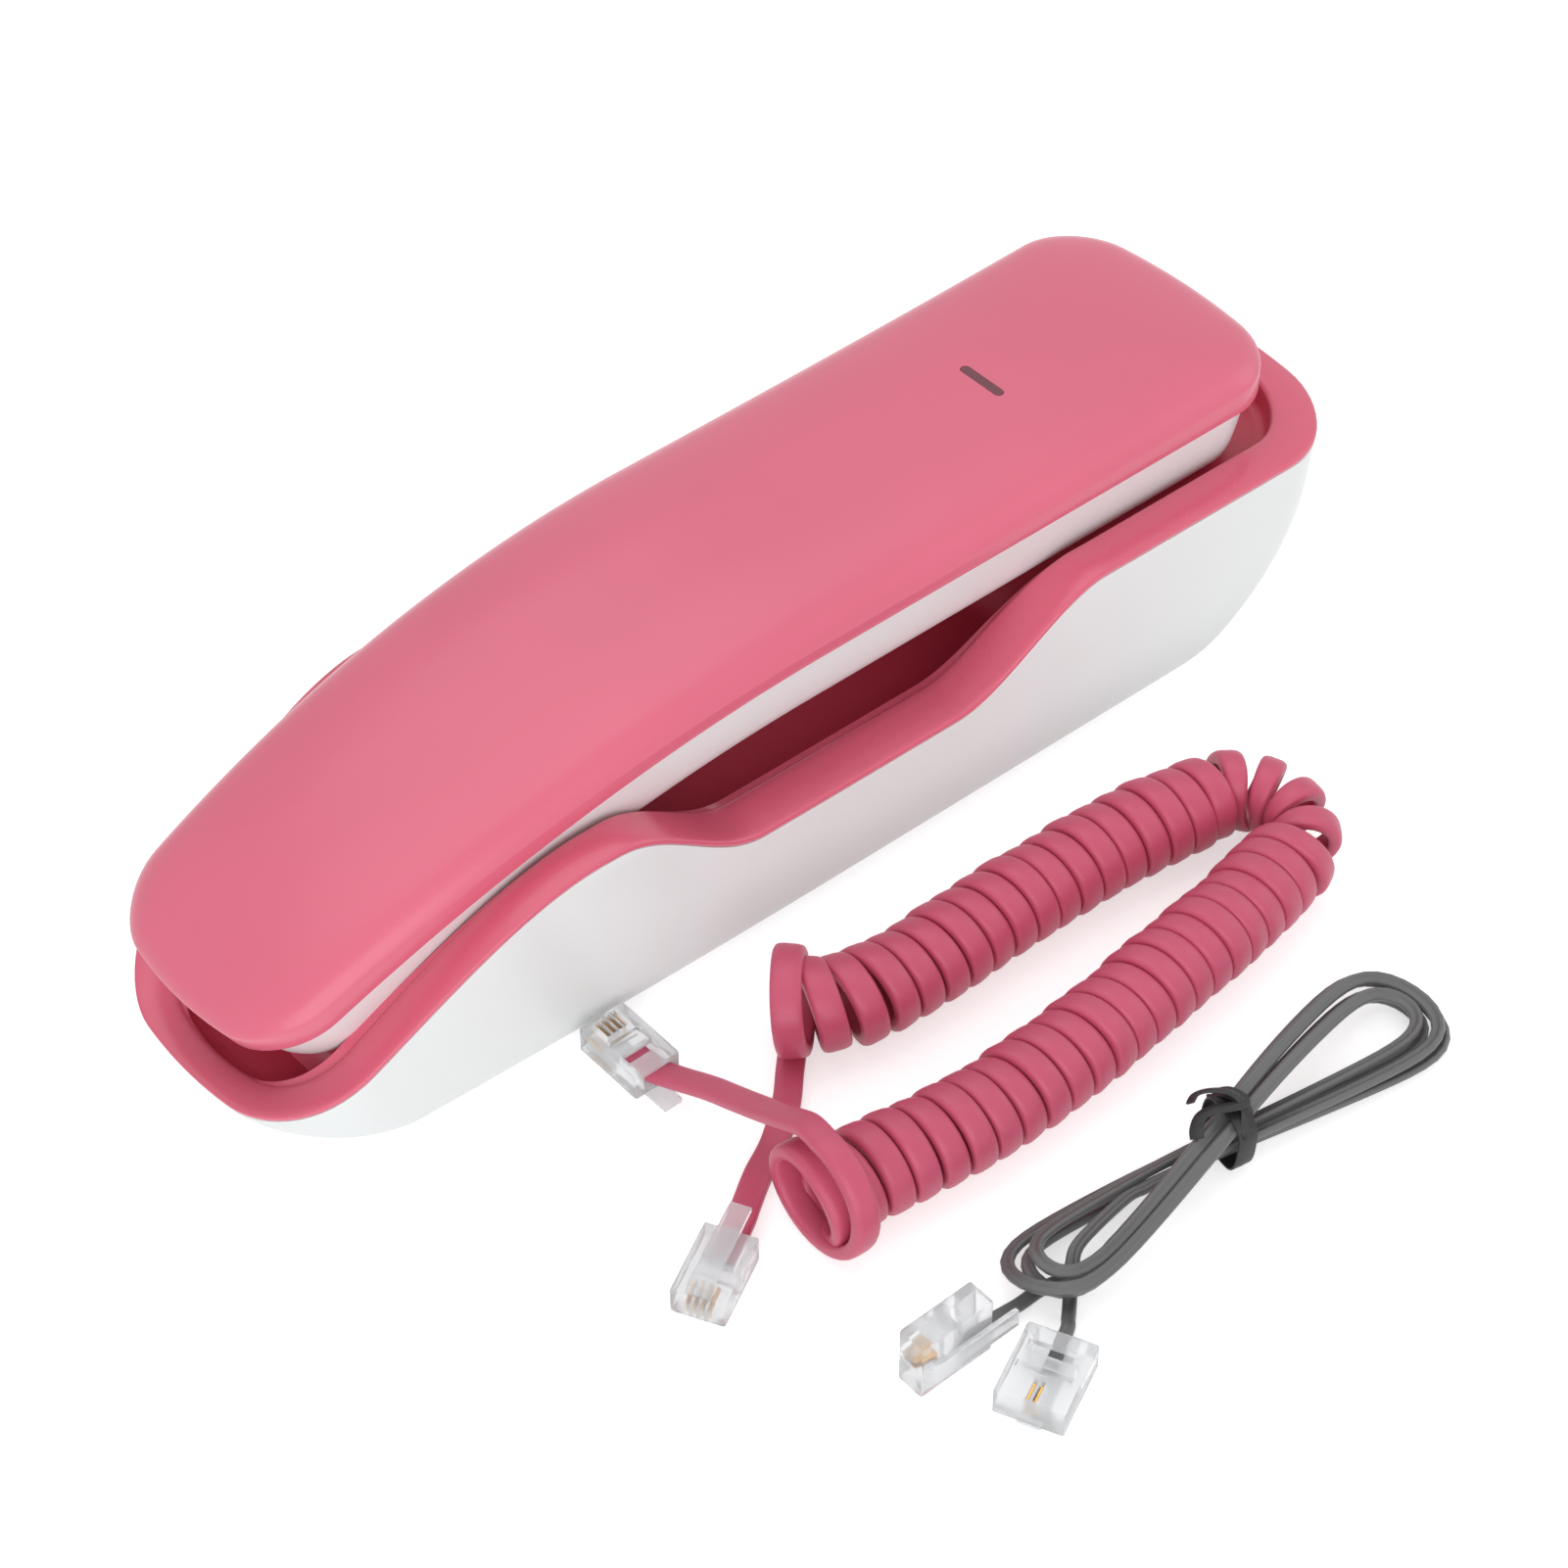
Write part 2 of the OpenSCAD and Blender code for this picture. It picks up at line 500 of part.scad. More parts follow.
shell_steps = [[6.8, 1], [4.6, 0.975], [3.2, 0.88], [2.5, 0.72], [2, 0.4]];
module key_frame(row, col) { translate([key_x - row * key_pitch_x, col * key_pitch_y, 0]) children(); }
module handset_shell() {
    color([0.95, 0.95, 0.95]) difference() {
        skin(concat(
            [for (c = shell_steps) handset_ring(c[0], function (s) -shell_depth * c[1])],
            [handset_ring(shell_inset, function (s) -0.15), handset_ring(shell_inset + handset_wall, function (s) -0.15),
             handset_ring(2 + handset_wall, function (s) -shell_depth * 0.4),
             handset_ring(2.8 + handset_wall, function (s) 1.6 - shell_depth + handset_wall),
             handset_ring(floor_inset, function (s) handset_wall - shell_depth)]));
        for (row = [0:4]) for (col = [-1:1]) key_frame(row, col)
            translate([-key_length / 2 - key_gap, -key_width / 2 - key_gap, shell_floor - 2])
                cube([key_length + 2 * key_gap, key_width + 2 * key_gap, 6]);
        translate([ear_x, 0, shell_floor - 1]) {
            cylinder(r = 1, h = 4);
            for (a = [0:60:300]) rotate([0, 0, a]) translate([4.5, 0, 0]) cylinder(r = 1, h = 4);
        }
        at_bend(mic_s, -shell_depth - 1) for (y = [-2.4, 0, 2.4])
            translate([0, y, 0]) cylinder(r = 0.8, h = 4);
        for (y = [-1, 1]) translate([handset_screw[0], y * handset_screw[1], shell_floor - 1]) {
            cylinder(r = 1.6, h = 6);
            cylinder(r = 3, h = 1.9);
        }
        at_jack() translate([-6, -3.9, -3.3]) cube([12, 7.8, 6.6]);
    }
}
module at_bend(s, h) { translate(bend(s, 0, h)) rotate([0, s / curve_radius * 180 / PI, 0]) children(); }
module at_jack() { at_bend(-92, -5.9) children(); }
module handset_jack() {
    color([0.2, 0.2, 0.2]) at_jack() difference() {
        translate([4.6, -4.9, -3.9]) cube([8.2, 9.8, 7.8]);
        translate([4, -3.9, -3.3]) cube([7.8, 7.8, 6.6]);
    }
}
module lamp_lens() {
    color([0.35, 0.1, 0.15]) translate([lamp_x, 0, parting_height + cover_height - 2.2])
        slot(lamp_length, lamp_width, 2.2);
}
module lamp() {
    color([0.8, 0.1, 0.1]) translate([lamp_x, 0, shell_inner + 4.6])
        cylinder(r = 1.5, h = parting_height + cover_height - 2.3 - shell_inner - 4.6);
}
module keypad_mat() {
    color([0.3, 0.3, 0.3])
        translate([key_x - 4 * key_pitch_x - key_length / 2 - 2, 0.5 - board_half, shell_inner + 2])
            cube([4 * key_pitch_x + key_length + 4, 2 * board_half - 1, 0.95]);
}
module handset_board() {
    color([0.1, 0.4, 0.2]) {
        translate([-20, -board_half, shell_inner + 3]) cube([61, 2 * board_half, 1.6]);
        translate([40, 5 - handset_screw[1], shell_inner + 3]) cube([10, 2 * handset_screw[1] - 10, 1.6]);
    }
}
module earpiece_capsule() {
    color([0.2, 0.2, 0.2]) difference() {
        translate([ear_x, 0, shell_inner + 0.05]) cylinder(r = 13.2, h = 5);
        translate([ear_x, 0, shell_inner - 1]) cylinder(r = 7, h = 2);
    }
}
module microphone_capsule() {
    color([0.2, 0.2, 0.2]) at_bend(mic_s, -shell_depth + handset_wall + 0.15) cylinder(r = 4.8, h = 5);
}
module handset_screws() {
    color([0.7, 0.7, 0.7]) for (y = [-1, 1]) translate([handset_screw[0], y * handset_screw[1], 0]) {
        translate([0, 0, shell_floor + 0.1]) cylinder(r = 2.7, h = 0.8);
        translate([0, 0, shell_floor + 0.1]) cylinder(r = 1.2, h = 7);
    }
}
// rows count from the ear end; seen from below with that end up, +Y is to the right
module key(row, col, tint = [0.93, 0.93, 0.93]) {
    color(tint) key_frame(row, col) {
        translate([-key_length / 2, -key_width / 2, shell_floor - key_rise])
            cube([key_length, key_width, key_rise + handset_wall + seat_gap + 0.4]);
        translate([-key_length / 2 - key_flange, -key_width / 2 - key_flange, shell_inner + seat_gap])
            cube([key_length + 2 * key_flange, key_width + 2 * key_flange, 0.8]);
    }
}
module key_1() { key(0, -1); }
module key_2() { key(0, 0); }
module key_3() { key(0, 1); }
module key_4() { key(1, -1); }
module key_5() { key(1, 0); }
module key_6() { key(1, 1); }
module key_7() { key(2, -1); }
module key_8() { key(2, 0); }
module key_9() { key(2, 1); }
module key_star() { key(3, -1); }
module key_0() { key(3, 0); }
module key_hash() { key(3, 1); }
module key_flash() { key(4, -1, [0.88, 0.42, 0.53]); }
module key_redial() { key(4, 0, [0.88, 0.42, 0.53]); }
module key_mute() { key(4, 1, [0.88, 0.42, 0.53]); }

module curly_coil() { color([0.8, 0.36, 0.47]) sweep(coil_all, 6); }
module coil_lead_a() {
    color([0.8, 0.36, 0.47]) sweep(flat_stations(concat([tail_a[1][0] - start_dir * touch],
        route(lead_a_route, 3), [plug_end(plug_a_at, 3.8)]), strip_width / 2,
        strip_thick / 2, -start_dir, [0, 1, 0]), 8);
}
module coil_lead_b() {
    color([0.8, 0.36, 0.47]) sweep(flat_stations(concat([tail_b[1][0] + end_dir * touch],
        route(lead_b_route, 3), [plug_end(plug_b_at, 2.4)]), strip_width / 2,
        strip_thick / 2, end_dir, plug_dir(plug_b_at)), 8);
}
module coil_plug_a() { color([0.85, 0.88, 0.9]) at_plug(plug_a_at[0], plug_a_at[1], plug_a_at[2]) plug(7.65); }
module coil_plug_b() {
    color([0.85, 0.88, 0.9]) at_plug(plug_b_at[0], plug_b_at[1], plug_b_at[2]) plug(7.65, true);
}
module line_hank() {
    color([0.43, 0.43, 0.43]) sweep(flat_stations(hank_route, line_thick / 2, line_thick / 2,
        unit(hank_route[1] - hank_route[0]), unit(hank_route[len(hank_route) - 1]
        - hank_route[len(hank_route) - 2])), 6);
}
hank_dir = unit(hank_route[1] - hank_route[0]);
module line_lead_a() {
    color([0.43, 0.43, 0.43]) sweep(flat_stations(concat([[plug_c_at[0] - 5 + touch, line_a_route[0][1],
        line_a_route[0][2]]], route(line_a_route, 2), [hank_route[0] - hank_dir * (line_thick + touch),
        hank_route[0] - hank_dir * touch]), line_thick / 2, line_thick / 2, [1, 0, 0], hank_dir), 8);
}
module line_lead_b() {
    color([0.43, 0.43, 0.43]) sweep(flat_stations(concat([hank_route[len(hank_route) - 1] + hank_out * touch],
        route(line_b_route, 3), [plug_end(plug_d_at, 3.8)]), line_thick / 2, line_thick / 2,
        hank_out, plug_dir(plug_d_at)), 8);
}
hank_out = unit(hank_route[len(hank_route) - 1] - hank_route[len(hank_route) - 2]);
module line_plug_a() {
    color([0.85, 0.88, 0.9]) translate([0, 0, 4.95]) at_plug(plug_c_at[0], plug_c_at[1], plug_c_at[2])
        rotate([90, 0, 0]) plug(9.65);
}
module line_plug_b() { color([0.85, 0.88, 0.9]) at_plug(plug_d_at[0], plug_d_at[1], plug_d_at[2]) plug(9.65); }
module hank_tie() {
    color([0.2, 0.2, 0.2]) translate([hank_mid[0], hank_mid[1], 0]) rotate([90, 0, 80])
        linear_extrude(3, center = true) difference() {
            translate([-4.9, 0.05]) square([9.8, 9.85]);
            translate([-4.3, 0.6]) square([8.6, 8.75]);
        }
}

base_shell();
cradle_tray();
base_board();
hook_switch();
hook_plunger();
ringer_buzzer();
line_jack();
cord_jack();
base_screws();
rubber_feet();
ballast_plate();
volume_knob();
handset_cover();
handset_shell();
lamp_lens();
lamp();
handset_board();
keypad_mat();
earpiece_capsule();
microphone_capsule();
handset_jack();
handset_screws();
key_1();
key_2();
key_3();
key_4();
key_5();
key_6();
key_7();
key_8();
key_9();
key_star();
key_0();
key_hash();
key_flash();
key_redial();
key_mute();
curly_coil();
coil_lead_a();
coil_lead_b();
coil_plug_a();
coil_plug_b();
line_hank();
line_lead_a();
line_lead_b();
line_plug_a();
line_plug_b();
hank_tie();
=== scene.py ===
"""Looks of the compact corded phone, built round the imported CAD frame.

Sizes are written in millimetres; MM turns them into the scene's metres. Angles are in degrees.
"""
import bpy, bmesh, math
import numpy as np
from mathutils import Matrix, Vector


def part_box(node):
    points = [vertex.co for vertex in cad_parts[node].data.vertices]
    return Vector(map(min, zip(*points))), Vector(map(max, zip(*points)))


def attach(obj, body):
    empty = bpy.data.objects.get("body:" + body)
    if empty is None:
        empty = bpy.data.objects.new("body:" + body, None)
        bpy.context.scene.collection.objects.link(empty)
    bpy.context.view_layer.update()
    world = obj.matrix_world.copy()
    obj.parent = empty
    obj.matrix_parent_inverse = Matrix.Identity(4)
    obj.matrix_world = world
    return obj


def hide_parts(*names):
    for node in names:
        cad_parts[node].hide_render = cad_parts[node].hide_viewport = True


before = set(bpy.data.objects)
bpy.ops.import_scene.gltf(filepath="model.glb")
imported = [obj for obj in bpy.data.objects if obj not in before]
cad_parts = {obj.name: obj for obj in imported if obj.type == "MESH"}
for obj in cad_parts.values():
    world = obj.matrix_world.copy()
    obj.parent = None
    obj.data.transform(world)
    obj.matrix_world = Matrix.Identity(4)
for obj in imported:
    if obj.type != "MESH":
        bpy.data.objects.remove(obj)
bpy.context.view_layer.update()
MM = 0.001
scene = bpy.context.scene


# ------------------------------------------------------------------ camera
# fitted by least squares to the photograph's outlines and to the width of its plugs
PHOTO_PX, FOCAL_PX, SENSOR = 1601, 4000, 36
EYE, EYE_DOWN, EYE_AROUND = (-259.09, -310.67, 396.25), 44.36, 40.779


def make_camera():
    elev, azim = math.radians(EYE_DOWN), math.radians(EYE_AROUND)
    right = Vector((math.cos(azim), -math.sin(azim), 0))
    ahead = Vector((math.sin(azim), math.cos(azim), 0))
    up = math.sin(elev) * ahead + Vector((0, 0, math.cos(elev)))
    back = -(math.cos(elev) * ahead - Vector((0, 0, math.sin(elev))))
    data = bpy.data.cameras.new("camera")
    data.sensor_width = SENSOR
    data.lens = SENSOR * FOCAL_PX / PHOTO_PX
    data.clip_start, data.clip_end = 0.01, 20
    cam = bpy.data.objects.new("camera", data)
    m = Matrix((right, up, back)).transposed().to_4x4()
    m.translation = Vector(EYE) * MM
    cam.matrix_world = m
    scene.collection.objects.link(cam)
    scene.camera = cam


make_camera()


# ------------------------------------------------------------------ materials
def linear(c):
    return tuple(x / 12.92 if x <= 0.04045 else ((x + 0.055) / 1.055) ** 2.4 for x in c)


def set_inputs(node, **values):
    """Sets sockets by name, with underscores for the spaces in it."""
    for key, value in values.items():
        node.inputs[key.replace("_", " ")].default_value = value


def add_node(nt, kind, **values):
    node = nt.nodes.new(kind)
    set_inputs(node, **values)
    return node


DRIFT_SCALE, ROUGH_DRIFT, GRAIN_DEPTH, COAT_ROUGH = 22, 0.15, 0.0002, 0.08


def plastic(name, colour, rough=0.3, grain=0.0, grain_scale=900, mottle=0.03, coat=0.0, ior=1.46):
    """Moulded plastic: faint colour drift, roughness drift and a fine surface grain."""
    m = bpy.data.materials.new(name)
    m.use_nodes = True
    nt = m.node_tree
    b = nt.nodes["Principled BSDF"]
    set_inputs(b, IOR=ior, Coat_Weight=coat, Coat_Roughness=COAT_ROUGH)
    co = nt.nodes.new("ShaderNodeTexCoord")
    drift = add_node(nt, "ShaderNodeTexNoise", Scale=DRIFT_SCALE, Detail=4)
    nt.links.new(co.outputs["Object"], drift.inputs["Vector"])
    ramp = nt.nodes.new("ShaderNodeValToRGB")
    base = linear(colour)
    ramp.color_ramp.elements[0].position, ramp.color_ramp.elements[1].position = 0.3, 0.7
    ramp.color_ramp.elements[0].color = (*[x * (1 - mottle) for x in base], 1)
    ramp.color_ramp.elements[1].color = (*[min(1, x * (1 + mottle)) for x in base], 1)
    nt.links.new(drift.outputs["Fac"], ramp.inputs["Fac"])
    nt.links.new(ramp.outputs["Color"], b.inputs["Base Color"])
    rr = add_node(nt, "ShaderNodeMapRange", To_Min=rough * (1 - ROUGH_DRIFT), To_Max=rough * (1 + ROUGH_DRIFT))
    nt.links.new(drift.outputs["Fac"], rr.inputs["Value"])
    nt.links.new(rr.outputs["Result"], b.inputs["Roughness"])
    if grain:
        fine = add_node(nt, "ShaderNodeTexNoise", Scale=grain_scale, Detail=3)
        nt.links.new(co.outputs["Object"], fine.inputs["Vector"])
        bump = add_node(nt, "ShaderNodeBump", Strength=grain, Distance=GRAIN_DEPTH)
        nt.links.new(fine.outputs["Fac"], bump.inputs["Height"])
        nt.links.new(bump.outputs["Normal"], b.inputs["Normal"])
    return m


def clear(name, tint, rough):
    """Clear moulding, a little milky; its low IOR stands for the many thin walls inside."""
    m = plastic(name, tint, rough, grain=0.05, grain_scale=500, mottle=0.01, ior=1.22)
    set_inputs(m.node_tree.nodes["Principled BSDF"], Transmission_Weight=0.72)
    return m


def metal(name, colour, rough):
    m = plastic(name, colour, rough, grain=0.1, grain_scale=1500, mottle=0.08)
    set_inputs(m.node_tree.nodes["Principled BSDF"], Metallic=1)
    return m


PINK = plastic("pink_gloss", (0.90, 0.43, 0.53), 0.3, grain=0.03, grain_scale=700, coat=0.08)
PINK_TRAY = plastic("pink_tray", (0.885, 0.40, 0.50), 0.27, grain=0.03, grain_scale=700, coat=0.1)
# the tray's own pink, darkened and deepened: painted shade for the inside of the well
PINK_WELL_SHADE = plastic("pink_well_painted_shade", (0.79, 0.26, 0.35), 0.34, grain=0.03, grain_scale=700)
WHITE = plastic("white_gloss", (0.94, 0.955, 0.955), 0.3, grain=0.03, grain_scale=700, mottle=0.01)
KEY_WHITE = plastic("key_white", (0.93, 0.93, 0.92), 0.35, grain=0.05, mottle=0.015)
BLACK = plastic("black_satin", (0.1, 0.1, 0.1), 0.4, grain=0.15)
PINK_CORD = plastic("pink_cord", (0.80, 0.34, 0.455), 0.42, grain=0.25, grain_scale=420, mottle=0.05)
GREY_CORD = plastic("grey_cord", (0.42, 0.42, 0.42), 0.36, grain=0.12, grain_scale=500, mottle=0.06)
TIE = plastic("tie_black", (0.16, 0.16, 0.165), 0.5, grain=0.3, grain_scale=800, mottle=0.1)
CLEAR = clear("clear_plug", (0.96, 0.965, 0.97), 0.16)
GOLD = metal("gold_contact", (0.86, 0.66, 0.36), 0.25)
STEEL = metal("steel", (0.68, 0.68, 0.7), 0.3)
RUBBER = plastic("rubber", (0.13, 0.13, 0.13), 0.75, grain=0.4, grain_scale=600)
BOARD = plastic("board_green", (0.1, 0.36, 0.2), 0.4, grain=0.1)
LENS = plastic("lamp_smoke", (0.44, 0.20, 0.25), 0.22, mottle=0.06, coat=0.2)
LAMP = plastic("lamp_red", (0.75, 0.1, 0.1), 0.2, mottle=0.02)
INK = plastic("key_ink", (0.28, 0.28, 0.30), 0.5, grain=0.05)


# ------------------------------------------------------------------ mesh helpers
def place(name, data):
    ob = bpy.data.objects.new(name, data)
    scene.collection.objects.link(ob)
    return ob


def add_mesh(name, verts, faces, mat, body, smooth_angle=38):
    me = bpy.data.meshes.new(name)
    me.from_pydata([tuple(v) for v in verts], [], [tuple(f) for f in faces])
    me.update()
    ob = place(name, me)
    me.materials.append(mat)
    shade(ob, smooth_angle)
    if body:
        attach(ob, body)
    return ob


def shade(ob, angle):
    me = ob.data
    me.polygons.foreach_set("use_smooth", [True] * len(me.polygons))
    me.set_sharp_from_angle(angle=math.radians(angle))


def loft_faces(rows, n, cap_start=True, cap_end=True):
    f = [(r * n + i, r * n + (i + 1) % n, (r + 1) * n + (i + 1) % n, (r + 1) * n + i)
         for r in range(rows - 1) for i in range(n)]
    if cap_start:
        f.append(tuple(reversed(range(n))))
    if cap_end:
        f.append(tuple((rows - 1) * n + i for i in range(n)))
    return f


def fix_normals(ob):
    bm = bmesh.new()
    bm.from_mesh(ob.data)
    bmesh.ops.recalc_face_normals(bm, faces=bm.faces)
    bm.to_mesh(ob.data)
    bm.free()


def cut(ob, cutters, angle=38):
    """Cuts the cutters out of ob one after another and removes them."""
    for c in cutters:
        md = ob.modifiers.new("cut", "BOOLEAN")
        md.operation, md.solver, md.object = "DIFFERENCE", "EXACT", c
    bpy.context.view_layer.update()
    dg = bpy.context.evaluated_depsgraph_get()
    new = bpy.data.meshes.new_from_object(ob.evaluated_get(dg))
    ob.modifiers.clear()
    ob.data = new
    for c in cutters:
        bpy.data.objects.remove(c)
    shade(ob, angle)


def place_bm(name, bm, at):
    """Moves bm by the matrix at, if there is one, and makes it an object in metres."""
    if at is not None:
        bmesh.ops.transform(bm, matrix=at, verts=bm.verts)
    bmesh.ops.scale(bm, vec=(MM, MM, MM), verts=bm.verts)
    me = bpy.data.meshes.new(name)
    bm.to_mesh(me)
    bm.free()
    return place(name, me)


def box_ob(lo, hi, round_by=0.0, segments=3, at=None):
    bm = bmesh.new()
    bmesh.ops.create_cube(bm, size=1)
    lo, hi = Vector(lo), Vector(hi)
    bmesh.ops.scale(bm, vec=hi - lo, verts=bm.verts)
    bmesh.ops.translate(bm, vec=(hi + lo) / 2, verts=bm.verts)
    if round_by:
        bmesh.ops.bevel(bm, geom=bm.edges, offset=round_by, segments=segments, affect="EDGES", profile=0.5)
    return place_bm("box", bm, at)


def rod_ob(x, y, z0, z1, r, n=40, at=None, r_top=None):
    bm = bmesh.new()
    bmesh.ops.create_cone(bm, cap_ends=True, segments=n, radius1=r, radius2=r if r_top is None else r_top,
                          depth=z1 - z0)
    bmesh.ops.translate(bm, vec=(x, y, (z0 + z1) / 2), verts=bm.verts)
    return place_bm("rod", bm, at)


def slot_ob(x, y, z0, z1, length, width, n=12):
    """Upright slot with round ends, its length along Y."""
    h = (length - width) / 2
    pts = [(x + width / 2 * math.cos(a), y + h * s + width / 2 * math.sin(a))
           for s, a0 in ((1, 0), (-1, math.pi)) for a in [a0 + math.pi * k / n for k in range(n + 1)]]
    v = [(p[0] * MM, p[1] * MM, z * MM) for z in (z0, z1) for p in pts]
    me = bpy.data.meshes.new("slot")
    me.from_pydata(v, [], loft_faces(2, len(pts)))
    return place("slot", me)


def join(name, obs, mats, body, angle=38):
    """Joins loose objects, each with its material, into one piece."""
    bpy.context.view_layer.update()
    bm = bmesh.new()
    me_out = bpy.data.meshes.new(name)
    uniq = []
    for m in mats:
        if m not in uniq:
            uniq.append(m)
    for o, m in zip(obs, mats):
        me = o.data.copy()
        me.transform(o.matrix_world)
        for p in me.polygons:
            p.material_index = uniq.index(m)
        bm.from_mesh(me)
        bpy.data.meshes.remove(me)
        bpy.data.objects.remove(o)
    bm.to_mesh(me_out)
    bm.free()
    ob = place(name, me_out)
    for m in uniq:
        me_out.materials.append(m)
    shade(ob, angle)
    if body:
        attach(ob, body)
    return ob


# ------------------------------------------------------------------ curly cord
# radius of the strip's middle, pitch, strip's thickness in the curls and in the leads, strip's width
CURL_R, PITCH, STRIP_T, LEAD_T, STRIP_W = 5.5, 3.9, 2.2, 1.9, 3.9
COIL_Z = CURL_R + STRIP_T / 2 + 0.25
# how far the cords reach into their plugs, and the places and headings of the two plugs that lie turned
CORD_IN, PLUG_B, PLUG_D = 4.98, (-55.8, -64.8, 208), (-35.8, -105.3, 205)
UP = np.array([0, 0, 1.0])


def smooth(t):
    u = min(1.0, max(0.0, t))
    return u * u * (3 - 2 * u)


def d2(a):
    """Level direction at a degrees from X."""
    return np.array([math.cos(math.radians(a)), math.sin(math.radians(a))])


def l2(a):
    """Level direction to the left of d2(a)."""
    return np.array([-math.sin(math.radians(a)), math.cos(math.radians(a))])


# curls before the bend, in it and after it, and the bend's radius and turn
CURLS_A, U_CURLS, CURLS_B, U_R, U_TURN = 23, 5, 17.5, 8.4, 158
BEND_END = CURLS_A + U_CURLS
CURLS = BEND_END + CURLS_B
RINGS = 36  # to each curl
COIL_START = (-45.6, -68.8)
# the coil's heading in degrees, by curl number
KNOTS = [0, 4, 8, 12, 17, CURLS_A, BEND_END, BEND_END + 5, BEND_END + 10, BEND_END + 14, CURLS]
HEADS = [-8, -10, -2, 6, 6, 11, 169, 177, 182, 175, 143]
# share of the pitch in the last curls, by curl number: the last one lies back over its neighbour
LAST_STEP = ([CURLS - 3.5, CURLS - 3, CURLS - 0.8, CURLS - 0.45, CURLS], [1.08, 1.2, 1.2, 0, -1.2])
# where the first curls sit apart from the even run: curl number, along X, along Y
FIRST_OFF = ([0, 0.5, 1, 1.5, 2, 3, 5, 16], [1.1, -2.3, -4.5, -4.3, -3.3, -2.9, -2.3, 0],
             [-1.6, -1.8, -1.0, -0.3, 0, 0, 0, 0])


def curl_step(c):
    """How far the coil goes on in the curl numbered c."""
    if CURLS_A < c < BEND_END:
        return U_R * math.radians(U_TURN) / U_CURLS
    return PITCH * float(np.interp(c, *LAST_STEP)) if c > BEND_END else PITCH


def spine_points():
    p = np.array(COIL_START)
    out = [p]
    for k in range(int(round(CURLS * RINGS))):
        c = (k + 0.5) / RINGS
        p = p + d2(float(np.interp(c, KNOTS, HEADS))) * curl_step(c) / RINGS
        out.append(p)
    return out


SPINE = spine_points()


def first_off(c):
    """Shift of the first curls, rounded off between its knots."""
    x = [float(np.interp(c + j, FIRST_OFF[0], v)) for v in FIRST_OFF[1:] for j in (-0.2, 0, 0.2)]
    return np.array([sum(x[:3]) / 3, sum(x[3:]) / 3])


def curl_size(c):
    """Radius of the strip's middle and height of the curl's centre: both ends are wound wider, round what they meet."""
    first, last, over = 1 - smooth((c - 0.6) / 0.55), smooth((c - CURLS + 1.3) / 0.8), smooth((c - CURLS + 0.6) / 0.35)
    r = CURL_R + 2.9 * first + 0.5 * last + 1.6 * over
    return r, COIL_Z + 2.9 * first + 1.5 * smooth((c - CURLS + 3) / 2) + 0.5 * over


BEND_IN, BEND_SLIM = 2.7, 0.75  # how far the curls sink, and how much narrower the strip is, on the bend's inside
END_WIDER = 0.22
LEAN, LEAN_DRIFT = 4.5, 2.5


def coil_station(k):
    """Middle, width axis, thickness axis and half width of the strip at ring k of the coil."""
    c = k / RINGS
    s, ang = SPINE[k] + first_off(c), float(np.interp(c, KNOTS, HEADS))
    bend = smooth(c - CURLS_A) * smooth(BEND_END - c)
    ang += 5 * (1 - smooth(c / 1.8)) - 12 * smooth((c - CURLS + 2.5) / 2)
    f = math.radians(-360 * c)
    l, d = l2(ang), d2(ang)
    inner = (0.5 + 0.5 * math.sin(f)) ** 2
    radial = np.array([l[0] * math.sin(f), l[1] * math.sin(f), math.cos(f)])
    r, z = curl_size(c)
    uneven = (0.1 * math.sin(2.1 * c + 1) + 0.08 * math.sin(5.3 * c)) * (1 - bend)
    p = np.array([s[0], s[1], z + uneven]) + radial * (r + uneven - BEND_IN * bend * inner)
    side = np.array([d[0], d[1], 0.0])
    ends = smooth((c - 1) / 1.5) * smooth((CURLS - c) / 1.5)
    way = 1 if c > CURLS_A + U_CURLS / 2 else -1
    lean = math.radians(LEAN + LEAN_DRIFT * math.sin(1.7 * c)) * (1 - bend) * ends * way
    w = side * math.cos(lean) + radial * math.sin(lean)
    t = radial * math.cos(lean) - side * math.sin(lean)
    return p, w, t, STRIP_W / 2 - BEND_SLIM * bend * inner + END_WIDER * smooth((c - CURLS + 4) / 2)


def spline(points, k):
    """Smooth curve through the points, in k steps from each to the next."""
    p = [np.array(q, float) for q in points]
    out = []
    for i in range(len(p) - 1):
        a, b, c, d = p[max(0, i - 1)], p[i], p[i + 1], p[min(len(p) - 1, i + 2)]
        for j in range(k):
            t = j / k
            out.append(0.5 * (2 * b + (c - a) * t + (2 * a - 5 * b + 4 * c - d) * t * t
                              + (3 * b - a - 3 * c + d) * t ** 3))
    return out + [p[-1]]


def unit(v):
    return v / np.linalg.norm(v)


def strip_outline(n=16):
    """Flat strip's section: rounded edges, outer face a little domed. Unit half width and half thickness."""
    out = []
    for k in range(n):
        a = 2 * math.pi * (k + 0.5) / n
        x, y = math.cos(a), math.sin(a)
        out.append((math.copysign(abs(x) ** 0.55, x), math.copysign(abs(y) ** (0.62 if y > 0 else 0.4), y)))
    return out


def sweep_mesh(name, stations, outline, mat, body="base"):
    """stations: (point, width axis, thickness axis, half width, half thickness) in millimetres."""
    n = len(outline)
    v = [(p + w * (hw * a) + t * (ht * b)) * MM for p, w, t, hw, ht in stations for a, b in outline]
    ob = add_mesh(name, v, loft_faces(len(stations), n), mat, body, smooth_angle=60)
    fix_normals(ob)
    return ob


